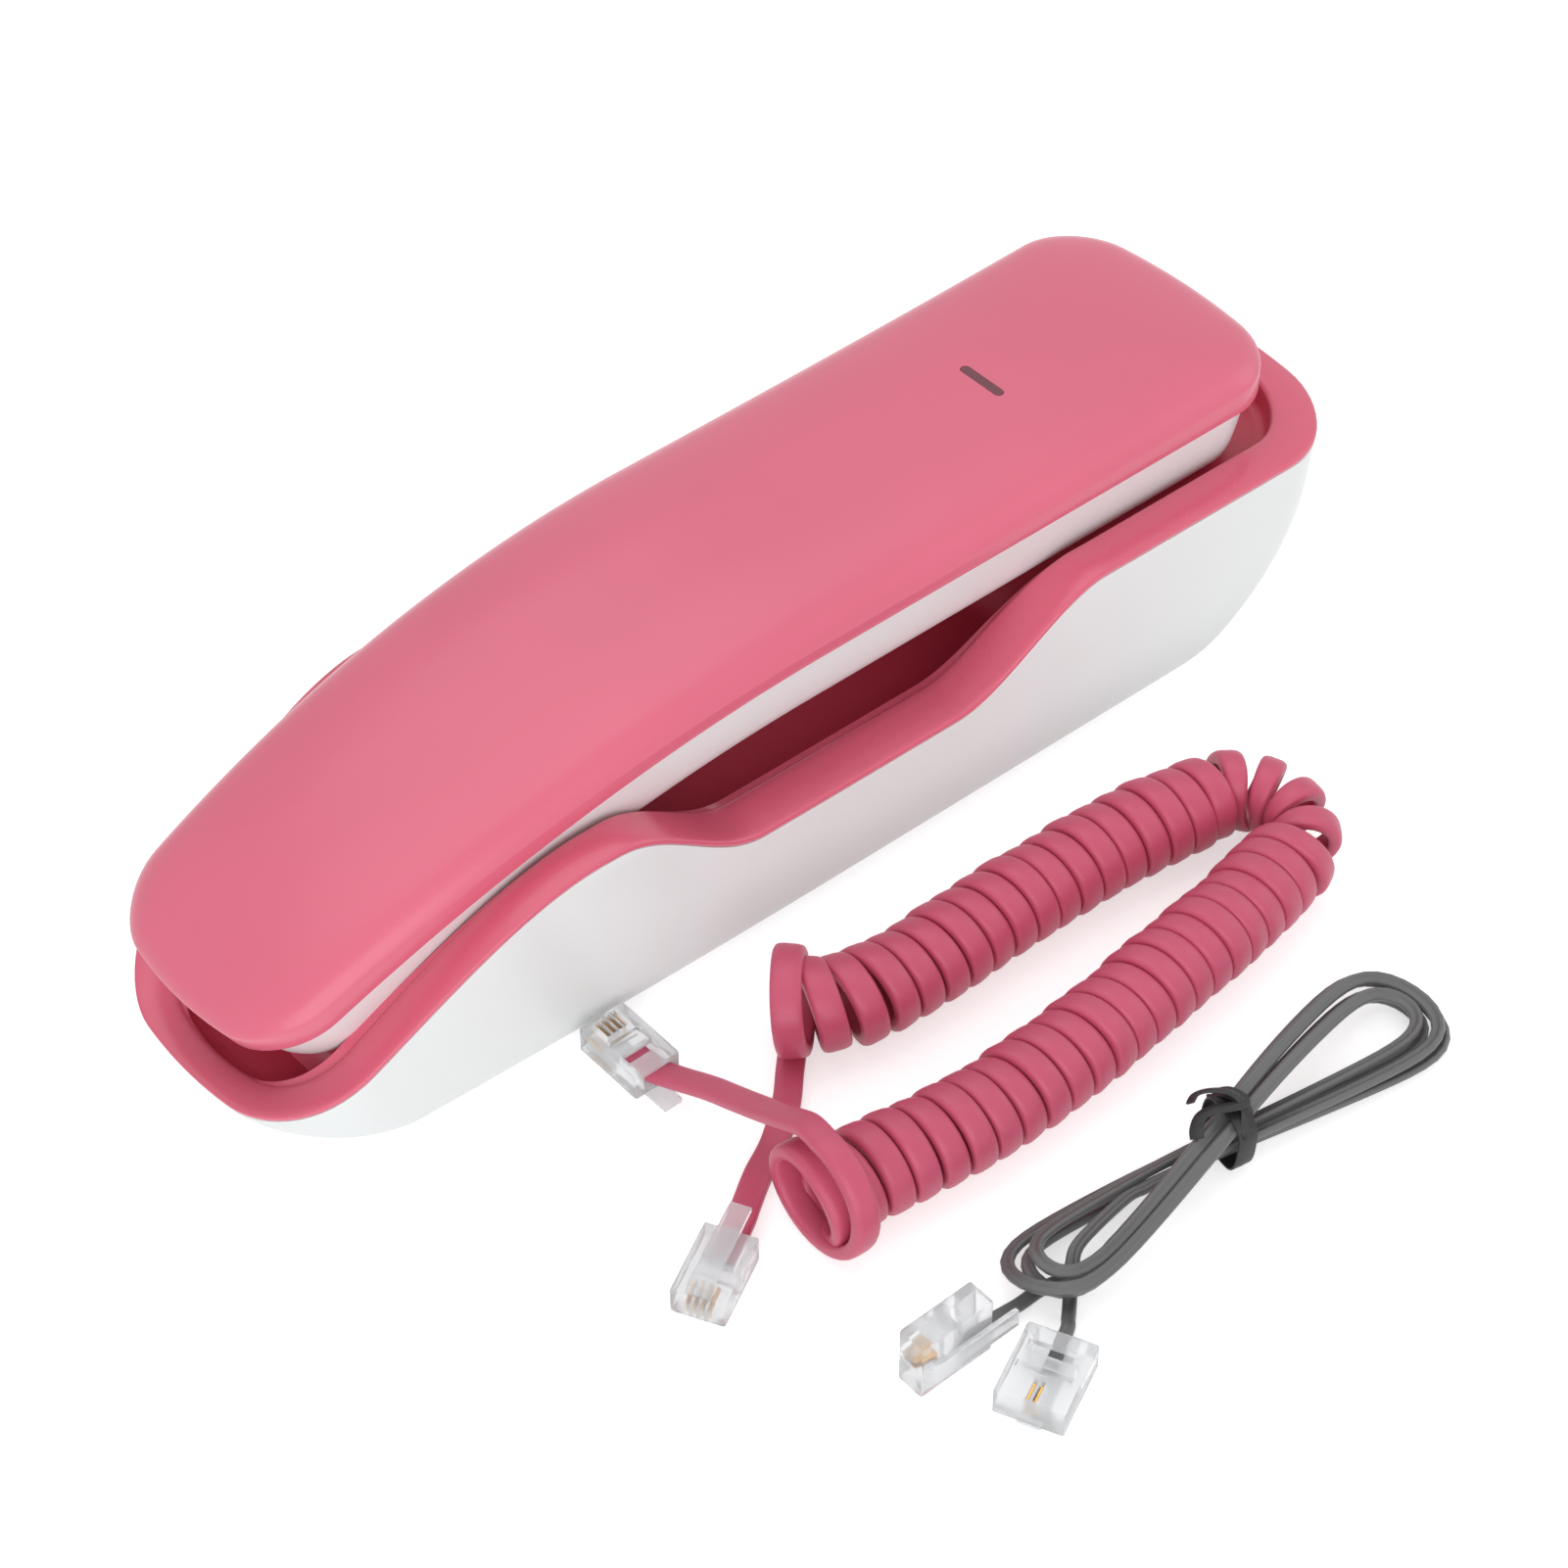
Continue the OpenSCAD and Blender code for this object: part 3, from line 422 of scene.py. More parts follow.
def lead_axes(points, first, last, w0, w1):
    """Free stretch of strip: its width axis turns evenly from w0 to w1."""
    n = len(points)
    out = []
    for i, p in enumerate(points):
        t = first if i == 0 else last if i == n - 1 else unit(points[i + 1] - points[i - 1])
        s = smooth(i / (n - 1))
        w = (1 - s) * w0 + s * w1
        out.append((p, unit(w - t * np.dot(w, t))))
    return out


def path_of(stations):
    """Middle line of a sweep in metres, and its length."""
    path = [st[0] * MM for st in stations]
    return path, sum(np.linalg.norm(path[i + 1] - path[i]) for i in range(len(path) - 1))


LEAD_STEPS, LEAD_EASE = 8, 14
LEAD_A = [[-46, -32.92, 3.8], [-45.7, -36.4, 3.8], [-44.9, -40, 4.6], [-44, -46.3, 7.2], [-43.9, -52, 9.8],
          [-44, -57.5, 12.6], [-44.3, -62.5, 15.6], [-44.45, -66.6, 17.8]]
LEAD_B = [[-30.9, -47.3, 1.4], [-34.9, -51.2, 1.3], [-40.6, -55.4, 1.25], [-46, -58.4, 1.7], [-50.6, -61.5, 2.2],
          [-53.4, -63.4, 2.4]]


def make_curly_cord():
    coil = [coil_station(k) for k in range(len(SPINE))]
    # lead A, from plug A up onto the coil's first curl
    p0, w0 = coil[0][:2]
    along = unit(coil[0][0] - coil[1][0])
    route = spline([*LEAD_A, list(p0)], LEAD_STEPS)
    lead_a = lead_axes(route[:-1], np.array([0, -1.0, 0]), -along, np.array([1.0, 0, 0]), w0)
    # lead B, from the coil's last curl down to plug B
    pe, we = coil[-1][:2]
    heading = unit(coil[-1][0] - coil[-2][0])
    plug_way = np.array([*d2(PLUG_B[2]), 0])
    end_b = np.array([*PLUG_B[:2], 2.4]) + CORD_IN * plug_way
    route = spline([list(pe), *LEAD_B, list(end_b)], LEAD_STEPS)
    side = unit(np.cross(UP, plug_way))
    if np.dot(side, we) < 0:
        side = -side
    lead_b = lead_axes(route[1:], heading, plug_way, we, side)
    # one sweep: the thickness axis keeps the same hand all along, and thickness eases into the coil's
    full = [(p, w, None, None) for p, w in lead_a] + coil + [(p, w, None, None) for p, w in lead_b]
    start, stop = len(lead_a), len(lead_a) + len(coil) - 1
    out = []
    for i, (p, w, t, half_w) in enumerate(full):
        half_t = STRIP_T / 2
        if i < start or i > stop:
            q = full[min(i + 1, len(full) - 1)][0] - full[max(i - 1, 0)][0]
            t = unit(np.cross(unit(q), w))
            if out and np.dot(t, out[-1][2]) < 0:
                t = -t
            far = min(abs(i - start), abs(i - stop), LEAD_EASE) / LEAD_EASE
            half_w, half_t = STRIP_W / 2, STRIP_T / 2 + (LEAD_T - STRIP_T) / 2 * far
        out.append((p, w, t, half_w, half_t))
    if np.dot(out[start - 1][2], coil[0][2]) < 0:
        out[:start] = [(p, w, -t, hw, ht) for p, w, t, hw, ht in out[:start]]
    ob = sweep_mesh("curly_cord", out, strip_outline(), PINK_CORD)
    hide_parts("curly_coil", "coil_lead_a", "coil_lead_b")
    return ob, *path_of(out)


curly, curly_path, curly_len = make_curly_cord()

# ------------------------------------------------------------------ line cord, wound as a flat figure of eight
LINE_T, TURNS = 1.7, 4
HANK_MID, HANK_PITCH, LOW_Z = (4.1, -94.7), LINE_T + 0.5, LINE_T / 2 + 0.3
HANK_IN, HANK_OUT, TURN_RINGS, LINE_LEAD_STEPS = 0.12, 0.17, 64, 6  # where the leads join it, in turns
LINE_HALF_W, LINE_HALF_T, LINE_TILT = 0.95, 0.62, 25
LEFT_REACH, RIGHT_REACH, LEFT_WIDE, RIGHT_WIDE = 38, 35.4, 5.7, 4.9


def hank_pt(t):
    """Middle of the cord after t turns. u counts turns from the innermost, w goes from 0 left to 1 right."""
    q = math.radians(270 + 360 * t)
    u = TURNS / 2 - t if t < TURNS / 2 else t - TURNS / 2
    w = (1 + math.sin(q)) / 2
    layer = smooth((t - TURNS / 2 + 0.06) / 0.12)
    a = (LEFT_REACH - HANK_PITCH * 1.2 * (u + 0.5 * layer)) * (1 - w) \
        + (RIGHT_REACH + HANK_PITCH * (u - 0.5 * layer)) * w
    b = (LEFT_WIDE - 1.1 * u - 0.5 * layer) * (1 - w) + (RIGHT_WIDE + 2.0 * u - 1.0 * layer) * w
    round_end = 0.78 + 0.6 * math.sin(q) ** 4
    rise = max(0.0, math.cos(q)) ** 2 * 2 + max(0.0, -math.sin(q)) ** 6
    return np.array([HANK_MID[0] + a * math.sin(q),
                     HANK_MID[1] + 2 * w + b * round_end * math.sin(2 * q) + (u - 1) * HANK_PITCH * math.cos(q) - 1,
                     LOW_Z + HANK_PITCH * (layer + rise) + 0.4 * math.cos(q) ** 2])


def twin_outline(n=20):
    """Two round cores side by side with a groove between them."""
    out = []
    for k in range(n):
        a = 2 * math.pi * (k + 0.5) / n
        x, y = math.cos(a), math.sin(a)
        groove = 1 - 0.6 * math.exp(-(x / 0.26) ** 2)
        out.append((math.copysign(abs(x) ** 0.8, x), math.copysign(abs(y) ** 0.7, y) * groove))
    return out


LINE_A = [[-46.18, -95.9, 2.7], [-42.4, -95.9, 2.7], [-38.4, -95.9, 2], [-34.4, -95.9, 1.3], [-30, -96.1, 1.4]]
LINE_B = [[-22.6, -94.8, 3.5], [-25.7, -96.4, 2.9], [-27.7, -98.3, 1.8], [-29.6, -100.1, 1.5], [-32, -102.3, 2.5],
          [-34.1, -104.1, 3.5]]


def make_line_cord():
    rings = int(round((TURNS - HANK_OUT - HANK_IN) * TURN_RINGS)) + 1
    pts = [hank_pt(HANK_IN + i / TURN_RINGS) for i in range(rings)]
    start, stop = unit(pts[1] - pts[0]), unit(pts[-1] - pts[-2])
    lead_a = spline([*LINE_A, list(pts[0] - start * 4.2), list(pts[0])], LINE_LEAD_STEPS)[:-1]
    end = np.array([*PLUG_D[:2], 3.8]) + CORD_IN * np.array([*d2(PLUG_D[2]), 0])
    lead_b = spline([list(pts[-1]), list(pts[-1] + stop * 3), *LINE_B, list(end)], LINE_LEAD_STEPS)[1:]
    route = lead_a + pts + lead_b
    n = len(route)
    out = []
    for i, p in enumerate(route):
        t = unit(route[min(i + 1, n - 1)] - route[max(i - 1, 0)])
        flat = unit(np.cross(UP, t))
        rise = np.cross(t, flat)
        tilt = math.radians(LINE_TILT)
        if i < len(lead_a):
            tilt *= smooth(i / len(lead_a))
        if i > n - len(lead_b):
            tilt *= smooth((n - i) / len(lead_b))
        w = flat * math.cos(tilt) + rise * math.sin(tilt)
        out.append((p, w, np.cross(t, w), LINE_HALF_W, LINE_HALF_T))
    ob = sweep_mesh("line_cord", out, twin_outline(), GREY_CORD)
    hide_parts("line_hank", "line_lead_a", "line_lead_b")
    return ob, *path_of(out)


line, line_path, line_len = make_line_cord()


# ------------------------------------------------------------------ modular plugs
PLUG_4, PLUG_6, CONTACT_PITCH = 7.65, 9.65, 1.02  # standard widths of the 4- and 6-position plugs


def plug_frame(x, y, z, angle, flip=False, side=False):
    """Plug with its contacts up, on its back (flip) or on its side."""
    m = Matrix.Translation((x, y, z)) @ Matrix.Rotation(math.radians(angle), 4, "Z")
    if side:
        m = m @ Matrix.Rotation(math.radians(90), 4, "X")
    if flip:
        m = m @ Matrix.Translation((0, 0, 6.2)) @ Matrix.Diagonal((1, -1, -1, 1))
    return m


def make_plug(name, node, width, at, contacts):
    """The cord enters at x = 0 and the contacts are at the far end; the latch's tongue is below."""
    lines = [(i - (contacts - 1) / 2) * CONTACT_PITCH for i in range(contacts)]
    body = box_ob((0, -width / 2, 1.6), (12, width / 2, 6.0), 0.35, 2, at)
    cuts = [box_ob((-1, -width / 2 + 1.5, 2.4), (5.2, width / 2 - 1.5, 5.1), 0.2, 2, at),
            box_ob((2.6, -width / 2 + 1.2, 4.8), (4.3, width / 2 - 1.2, 7), 0.1, 1, at),
            box_ob((6.2, -width / 2 + 1.0, 5.2), (7.2, width / 2 - 1.0, 7), 0.1, 1, at)]
    for y in lines:
        cuts.append(box_ob((8.2, y - 0.3, 3.9), (11.5, y + 0.3, 7), 0, 1, at))
    cut(body, cuts, 30)
    parts = [body] + [box_ob((8.4, y - 0.17, 3.2), (11.3, y + 0.17, 5.5), 0.05, 1, at) for y in lines]
    tongue = [(11.6, 1.9), (11.9, 1.2), (11.2, 0.45), (9.6, 0.35), (-3.2, 0.3), (-3.2, 1.0), (9.4, 1.15), (10.4, 1.7)]
    v = [at @ Vector((x, s * (1.6 if x > 1 else 1.45), z)) * MM for s in (-1, 1) for x, z in tongue]
    me = bpy.data.meshes.new("tongue")
    me.from_pydata([tuple(q) for q in v], [], loft_faces(2, len(tongue)))
    parts.append(place("tongue", me))
    fix_normals(parts[-1])
    parts.append(box_ob((4.6, -width / 2 + 1.6, 2.5), (6.0, width / 2 - 1.6, 3.0), 0.1, 1, at))
    ob = join(name, parts, [CLEAR] + [GOLD] * contacts + [CLEAR] * 2, "base", 30)
    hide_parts(node)
    return ob


plug_a = make_plug("plug_a_look", "coil_plug_a", PLUG_4, plug_frame(-46, -37.9, 0, 90), 4)
plug_b = make_plug("plug_b_look", "coil_plug_b", PLUG_4, plug_frame(*PLUG_B[:2], 0, PLUG_B[2], flip=True), 4)
plug_c = make_plug("plug_c_look", "line_plug_a", PLUG_6, plug_frame(-41.2, -99.7, 4.95, 180, side=True), 2)
plug_d = make_plug("plug_d_look", "line_plug_b", PLUG_6, plug_frame(*PLUG_D[:2], 0, PLUG_D[2]), 2)


# ------------------------------------------------------------------ twist tie round the hank
def ribbon(points, half_width, half_thick, lean):
    """Flat wire tie along points; lean turns its width from level (0) to upright (90 degrees), one value per end."""
    pts = [np.array(q, float) for q in spline(points, 8)]
    n = len(pts)
    out = []
    for i, p in enumerate(pts):
        t = unit(pts[min(i + 1, n - 1)] - pts[max(i - 1, 0)])
        level_axis = unit(np.cross(UP, t))
        a = math.radians(lean[0] + (lean[1] - lean[0]) * i / (n - 1))
        w = level_axis * math.cos(a) + np.cross(t, level_axis) * math.sin(a)
        out.append((p, w, np.cross(t, w), half_width, half_thick))
    return out


# wire tie's section, a thick core between two flat wings, for the band and for its flatter ends
TIE_EDGE = [(1, 0.7), (0.94, 1), (0.3, 1), (0, 1.25), (-0.3, 1), (-0.94, 1), (-1, 0.7), (-1, -0.7), (-0.94, -1),
            (0.94, -1), (1, -0.7)]
TIE_END_EDGE = [(1, 0.6), (0.9, 1), (0.3, 1), (0, 1.5), (-0.3, 1), (-0.9, 1), (-1, 0.6), (-1, -0.6), (-0.9, -1),
                (0.9, -1), (1, -0.6)]
TIE_TURN, TIE_Z, TIE_OUT, TIE_UP, TIE_HALF_W, TIE_HALF_T = 80, 4.9, 4.25, 4.55, 1.45, 0.16
# the ends' routes after they leave the band
TAIL_NEAR = [[4.7, -96.9, 10.0], [5.0, -95.2, 10.7], [4.4, -93.4, 11.1], [2.6, -91.9, 11.3], [0.9, -91.2, 11.2],
             [-0.5, -91.6, 10.9]]
TAIL_FAR = [[5.2, -93.0, 10.0], [5.7, -94.9, 10.0], [4.6, -96.0, 10.7], [2.7, -95.4, 11.0], [0.9, -94.4, 11.0],
            [-0.8, -94.0, 10.6], [-2.2, -94.6, 9.8], [-2.9, -95.5, 9.0]]


def make_tie():
    turn = math.radians(TIE_TURN)
    across = np.array([math.cos(turn), math.sin(turn), 0])
    along = np.array([math.sin(turn), -math.cos(turn), 0])
    mid = np.array([*HANK_MID, TIE_Z])
    n, m = 64, len(TIE_EDGE)
    v = []
    for i in range(n):
        q = 2 * math.pi * i / n
        c, s = math.cos(q), math.sin(q)
        u = TIE_OUT * math.copysign(abs(c) ** (2 / 3), c)
        z = TIE_UP * math.copysign(abs(s) ** (2 / 3), s)
        out = unit(across * (c * 1.1) + UP * s)
        sway = 0.25 * math.sin(q + 0.6) + 0.12 * math.sin(3 * q)
        for a, b in TIE_EDGE:
            v.append((mid + across * u + UP * z + along * (TIE_HALF_W * a + sway) + out * (TIE_HALF_T * b)) * MM)
    f = [(i * m + j, i * m + (j + 1) % m, (i + 1) % n * m + (j + 1) % m, (i + 1) % n * m + j)
         for i in range(n) for j in range(m)]
    band_ob = add_mesh("tie_band", v, f, TIE, None, 50)
    fix_normals(band_ob)
    near = mid - across * 3.6 + UP * 3.6
    far = mid + across * 3.4 + UP * 3.9
    tail_a = [near - UP * 0.9 - across * 0.4, near, *TAIL_NEAR]
    tail_b = [far - UP * 0.9 + across * 0.4, far, *TAIL_FAR]
    obs = [band_ob, sweep_mesh("tie_end", ribbon(tail_a, 0.85, TIE_HALF_T, (0, 50)), TIE_END_EDGE, TIE, None),
           sweep_mesh("tie_end", ribbon(tail_b, 0.95, TIE_HALF_T, (0, 25)), TIE_END_EDGE, TIE, None)]
    ob = join("twist_tie_look", obs, [TIE] * 3, "base", 50)
    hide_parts("hank_tie")


make_tie()

# ------------------------------------------------------------------ mouldings, from the same sizes as the source
# base: half length and width, wall, heights of the rim at its ends, in the finger cut-outs and at the crest between
HALF_L, HALF_W, WALL, RIM_H, RIM_LOW, CUT_H, CREST = 96.5, 28, 2.2, 35.4, 9.4, 22.4, 35.4
# rim's width at sides and ends, plan's corner radius and end bow, and the hull's turns, flare and the well's draft
RIM_W, RIM_END, CORNER, BOW, EAR_R, MOUTH_R, SIDE_R, FLARE, DRAFT = 6.1, 5, 14.8, 3.7, 25.6, 15, 4.2, 0.095, 0.09
# handset: half length, width, wall, plan's corner radius and end bow, depth under and height over its parting line
HS_HALF, HS_W, HS_WALL, HS_CORNER, HS_BOW, DEPTH, COVER_H = 91.8, 45.2, 1.8, 10.6, 2.6, 12, 7.6
# its bend's radius and place, its middle along the curve and the parting line's height
CURVE, BEND_X, HS_MID, PARTING = 180, -3, -2.2, 43.4
# points of each quarter ring: along its side, round its corner and across its end
NS, NC, NE = 72, 14, 10
# where the rim rises from the mouth end to its crest, and where the two finger cut-outs begin and end
CREST_X, CUT_IN, CUT_OUT = -44, -42, 44


def plan_template():
    """Kind and place of a ring's points, and for each point of the whole ring its template point and signs."""
    kind = [("s", i / NS) for i in range(NS)] + [("c", math.pi / 2 * (1 - i / NC)) for i in range(NC + 1)] \
        + [("e", i / NE) for i in range(1, NE + 1)]
    m = len(kind)
    idx = [(i, 1, 1) for i in range(m)] + [(i, 1, -1) for i in range(m - 2, -1, -1)] \
        + [(i, -1, -1) for i in range(1, m)] + [(i, -1, 1) for i in range(m - 2, 0, -1)]
    return kind, idx


KIND, IDX = plan_template()
RN = len(IDX)
IS_S = np.array([KIND[i][0] == "s" for i, _, _ in IDX])
IS_C = np.array([KIND[i][0] == "c" for i, _, _ in IDX])
PARAM = np.array([KIND[i][1] for i, _, _ in IDX])
SX = np.array([s for _, s, _ in IDX], float)
SY = np.array([s for _, _, s in IDX], float)


def plan(hl, hw, rc, bow):
    """Plan of a moulding: half length, half width, corner radius and how far its +X end is bowed."""
    hl, hw, rc = (np.broadcast_to(np.asarray(q, float), (RN,)) for q in (hl, hw, rc))
    x = np.where(IS_S, (hl - rc) * PARAM, np.where(IS_C, hl - rc + rc * np.cos(PARAM), hl))
    y = np.where(IS_S, hw, np.where(IS_C, hw - rc + rc * np.sin(PARAM), (hw - rc) * (1 - PARAM)))
    x = x - bow * (y / hw) ** 2 * np.maximum(0, x / hl) ** 8
    return x * SX, y * SY


def ease_a(t):
    """smooth() for arrays."""
    u = np.clip(t, 0, 1)
    return u * u * (3 - 2 * u)


def turn_in(z, r):
    """How far a rounded edge of radius r, standing on z = 0, draws in at height z."""
    return np.where(z < r, r * (1 - np.sqrt(np.maximum(0, 1 - ((r - z) / r) ** 2))), 0.0)


def rim_z(x):
    """Height of the rim along the base."""
    t = (x + HALF_L) / (HALF_L + CREST_X)
    rise = (np.sin(np.pi / 2 * np.clip(t, 0, 1)) + ease_a(t)) / 2
    top = np.where(x < CREST_X, RIM_LOW + (CREST - RIM_LOW) * rise,
                   CREST + (RIM_H - CREST) * ease_a((x - CREST_X) / 90))
    dip = ease_a((x - CUT_IN) / 25) * ease_a((CUT_OUT - x) / 26)
    return top - (top - CUT_H) * dip


TOP_X, _ = plan(HALF_L, HALF_W, CORNER, BOW)
RIM_AT = rim_z(TOP_X)


def narrow(x):
    """The base's width at x, as a share of its width in the middle."""
    return 1 + (0.0115 * x - np.where(x < 0, 3 * (x / HALF_L) ** 2, 0)) / HALF_W


def slimmer(s):
    """What the handset's half width gains at s along it."""
    return 0.003 * s - np.where(s < 0, 4.2 * (s / HS_HALF) ** 2, 0)


def hull_ring(z, d, e):
    """One ring of the hull: z, d (inset at the sides) and e (at the ends) are arrays or numbers."""
    z = np.broadcast_to(np.asarray(z, float), (RN,))
    hl = HALF_L - np.where(TOP_X < 0, turn_in(z, MOUTH_R), turn_in(z, EAR_R)) - e
    hw = HALF_W - FLARE * (RIM_H - z) - turn_in(z, SIDE_R) - d
    rc = np.maximum(5, CORNER - 0.65 * np.asarray(d) - 0.25 * turn_in(z, SIDE_R))
    x, y = plan(hl, hw, rc, BOW)
    return np.stack([x, y * narrow(x), z], 1) * MM


def shell_bottom(x):
    """Height of the handset's underside as it lies in the tray."""
    return np.where(x >= BEND_X, PARTING - DEPTH,
                    PARTING - CURVE + np.sqrt(np.maximum(1, (CURVE - DEPTH) ** 2 - (BEND_X - x) ** 2)))


SEAT_GAP, WELL_Z, FLOOR_LOW = 0.4, 15, 6.6


def floor_z(x):
    """Height of the tray's floor: just under the handset at both ends, and a deep well between."""
    seat = shell_bottom(x) - SEAT_GAP
    deep = ease_a((x + 56) / 10) * ease_a((50 - x) / 8)
    return np.maximum(FLOOR_LOW, seat + (np.minimum(WELL_Z, seat) - seat) * deep)


# the rim's width all round: the solids' width less most of the side gap, and broader at the finger cut-outs
LIP = RIM_W + 0.35 + 1.4 * ease_a((TOP_X + 44) / 18) * ease_a((46 - TOP_X) / 18)


def inner_d(z):
    """Inset of the tray's inner wall."""
    return LIP + DRAFT * (RIM_H - z)


def cap_strips(b):
    """Closes a ring by strips across the width, between facing points of its two sides."""
    h = RN // 2
    out = []
    for k in range(h):
        a = (RN - h // 2 + k) % RN
        a2, c, c2 = (a + 1) % RN, (h + RN - a) % RN, (h + RN - a - 1) % RN
        f = []
        for i in (a, a2, c2, c):
            if i not in f:
                f.append(i)
        if len(f) > 2:
            out.append(tuple(b + i for i in f))
    return out


# holes that the mouldings share with what sits in them
BASE_SCREWS, HANDSET_SCREWS = ((70, 12), (70, -12), (-30, 14), (-30, -14)), ((46.5, -13), (46.5, 13))
FEET, KEYHOLES_X = ((58, 13), (58, -13), (-58, 13), (-58, -13)), (-40, 40)
CORD_JACK_X, LINE_JACK_X, KNOB_X = -66, -50, 40
KEY_TOP, KEY_PITCH, KEY_HALF_X, KEY_HALF_Y = 34, 11, 3.5, 4.1
EAR_X, MIC_S, JACK_S = 66, -71, -92


def lofted(name, rings, mat, body, angle=35):
    v = np.concatenate(rings)
    faces = loft_faces(len(rings), RN, False, False) + cap_strips(0) + cap_strips((len(rings) - 1) * RN)
    ob = add_mesh(name, v, faces, mat, body, angle)
    fix_normals(ob)
    return ob


def make_base():
    top = RIM_AT - 1.15
    rings = [hull_ring(z, 0, 0) for z in (0.4, 0.5, 0.7, 1.0, 1.4, 1.9, 2.5, 3.3, 4.2)]
    rings += [hull_ring(4.2 + (top - 4.2) * t, 0, 0)
              for t in (0.04, 0.1, 0.17, 0.25, 0.34, 0.44, 0.55, 0.67, 0.8, 0.93)]
    rings += [hull_ring(top - 0.12, 0, 0), hull_ring(top - 0.04, 0.06, 0.06), hull_ring(top, 0.25, 0.25),
              hull_ring(top, WALL, WALL)]
    rings += [hull_ring(4 + (top - 4) * t, WALL, WALL) for t in (0.75, 0.5, 0.3, 0.15, 0.06)]
    rings += [hull_ring(z, WALL, WALL) for z in (3.3, 2.6)]
    ob = lofted("base_shell_look", rings, WHITE, "base")
    cuts = []
    for x, y in BASE_SCREWS:
        cuts += [rod_ob(x, y, -1, 5, 1.75), rod_ob(x, y, -1, 1.5, 3.3)]
    for x, y in FEET:
        cuts.append(rod_ob(x, y, -1, 1.5, 5.2, 48))
    for x in KEYHOLES_X:
        cuts += [rod_ob(x, 0, -1, 4, 4.2), box_ob((x, -2.1, -1), (x + 8, 2.1, 4), 0)]
    cuts += [box_ob((CORD_JACK_X - 3.9, 18.6, 4.4), (CORD_JACK_X + 3.9, 30.6, 10.6)),
             box_ob((LINE_JACK_X - 4.9, 18.6, 4.2), (LINE_JACK_X + 4.9, 30.6, 10.8)),
             box_ob((KNOB_X - 6.2, 20.9, 8.7), (KNOB_X + 6.2, 32.9, 12.3))]
    cut(ob, cuts)
    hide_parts("base_shell")


RIM_RINGS = 20  # of the tray's rings, these make its underside and rim; the rest are its inside, the tray's own pink darkened there as painted shade of the well


def make_tray():
    r, end = RIM_AT, RIM_END
    fl = floor_z(TOP_X)
    rings = [hull_ring(fl - 1.4, inner_d(fl) + 0.6, end + 0.8),
             hull_ring(np.minimum(fl + 0.8, r - 2.8), inner_d(fl) - 1.4, end - 1.4),
             hull_ring(r - 2.6, inner_d(r - 2.6) - 1.4, end - 1.4),
             hull_ring(r - 2.2, WALL + 0.3, WALL + 0.3),
             hull_ring(r - 1, WALL + 0.3, WALL + 0.3),
             hull_ring(r - 1, 0.15, 0.15), hull_ring(r - 0.95, 0.04, 0.04), hull_ring(r - 0.8, 0, 0),
             hull_ring(r - 0.45, 0, 0), hull_ring(r - 0.25, 0.06, 0.06), hull_ring(r - 0.1, 0.2, 0.2),
             hull_ring(r, 0.5, 0.45), hull_ring(r + 0.1, 1.2, 1.0),
             hull_ring(r + 0.22, LIP * 0.35, end * 0.35), hull_ring(r + 0.25, LIP / 2, end / 2),
             hull_ring(r + 0.24, LIP * 0.75, end * 0.7), hull_ring(r + 0.18, LIP - 0.8, end - 0.8),
             hull_ring(r + 0.08, LIP - 0.45, end - 0.45), hull_ring(r - 0.1, LIP - 0.2, end - 0.2),
             hull_ring(r - 0.35, LIP - 0.05, end - 0.05), hull_ring(r - 0.6, inner_d(r - 0.6), end)]
    for t in (0.85, 0.65, 0.45, 0.25):
        z = fl + 1.4 + (r - 0.6 - fl - 1.4) * t
        rings.append(hull_ring(z, inner_d(z), end))
    rings += [hull_ring(fl + 1.4, inner_d(fl + 1.4), end), hull_ring(fl + 0.75, inner_d(fl) + 0.1, end + 0.1),
              hull_ring(fl + 0.3, inner_d(fl) + 0.45, end + 0.45), hull_ring(fl + 0.06, inner_d(fl) + 0.95, end + 0.95),
              hull_ring(fl, inner_d(fl) + 1.5, end + 1.5), hull_ring(fl, inner_d(fl) + 5, end + 5)]
    ob = lofted("cradle_tray_look", rings, PINK_TRAY, "base")
    ob.data.materials.append(PINK_WELL_SHADE)
    # the well's inner wall and floor take the darker pink, painted shade of the well
    for p in ob.data.polygons:
        if min(p.vertices) // RN >= RIM_RINGS and p.normal.z > -0.5:
            p.material_index = 1
    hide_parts("cradle_tray")


def band(s):
    """Height of the cover's upright side."""
    return 2.4 + 2.1 * (s / HS_HALF) ** 2


def handset_ring(inset, h_of):
    """One ring of the handset, drawn in by inset, at the height h_of(s) over its curved parting line."""
    hl, hw = HS_HALF - inset, HS_W / 2 - inset
    x, y = plan(hl, hw, max(3, HS_CORNER - 0.7 * inset), HS_BOW)
    s = x + HS_MID
    h = h_of(s)
    yy = y * (1 + slimmer(s) / hw)
    a = np.maximum(0, -s) / CURVE
    px = np.where(s >= 0, BEND_X + s, BEND_X - (CURVE + h) * np.sin(a))
    pz = np.where(s >= 0, PARTING + h, PARTING - CURVE + (CURVE + h) * np.cos(a))
    return np.stack([px, yy, pz], 1) * MM


def at_bend(s, h):
    """Frame on the handset's curve at s along it and h above its parting line."""
    a = s / CURVE
    return Matrix.Translation((BEND_X + (CURVE + h) * math.sin(a), 0, PARTING - CURVE + (CURVE + h) * math.cos(a))) \
        @ Matrix.Rotation(a, 4, "Y")


def level(h):
    return lambda s: np.full_like(s, h)


def crown(k):
    return lambda s: band(s) + (COVER_H - band(s)) * k


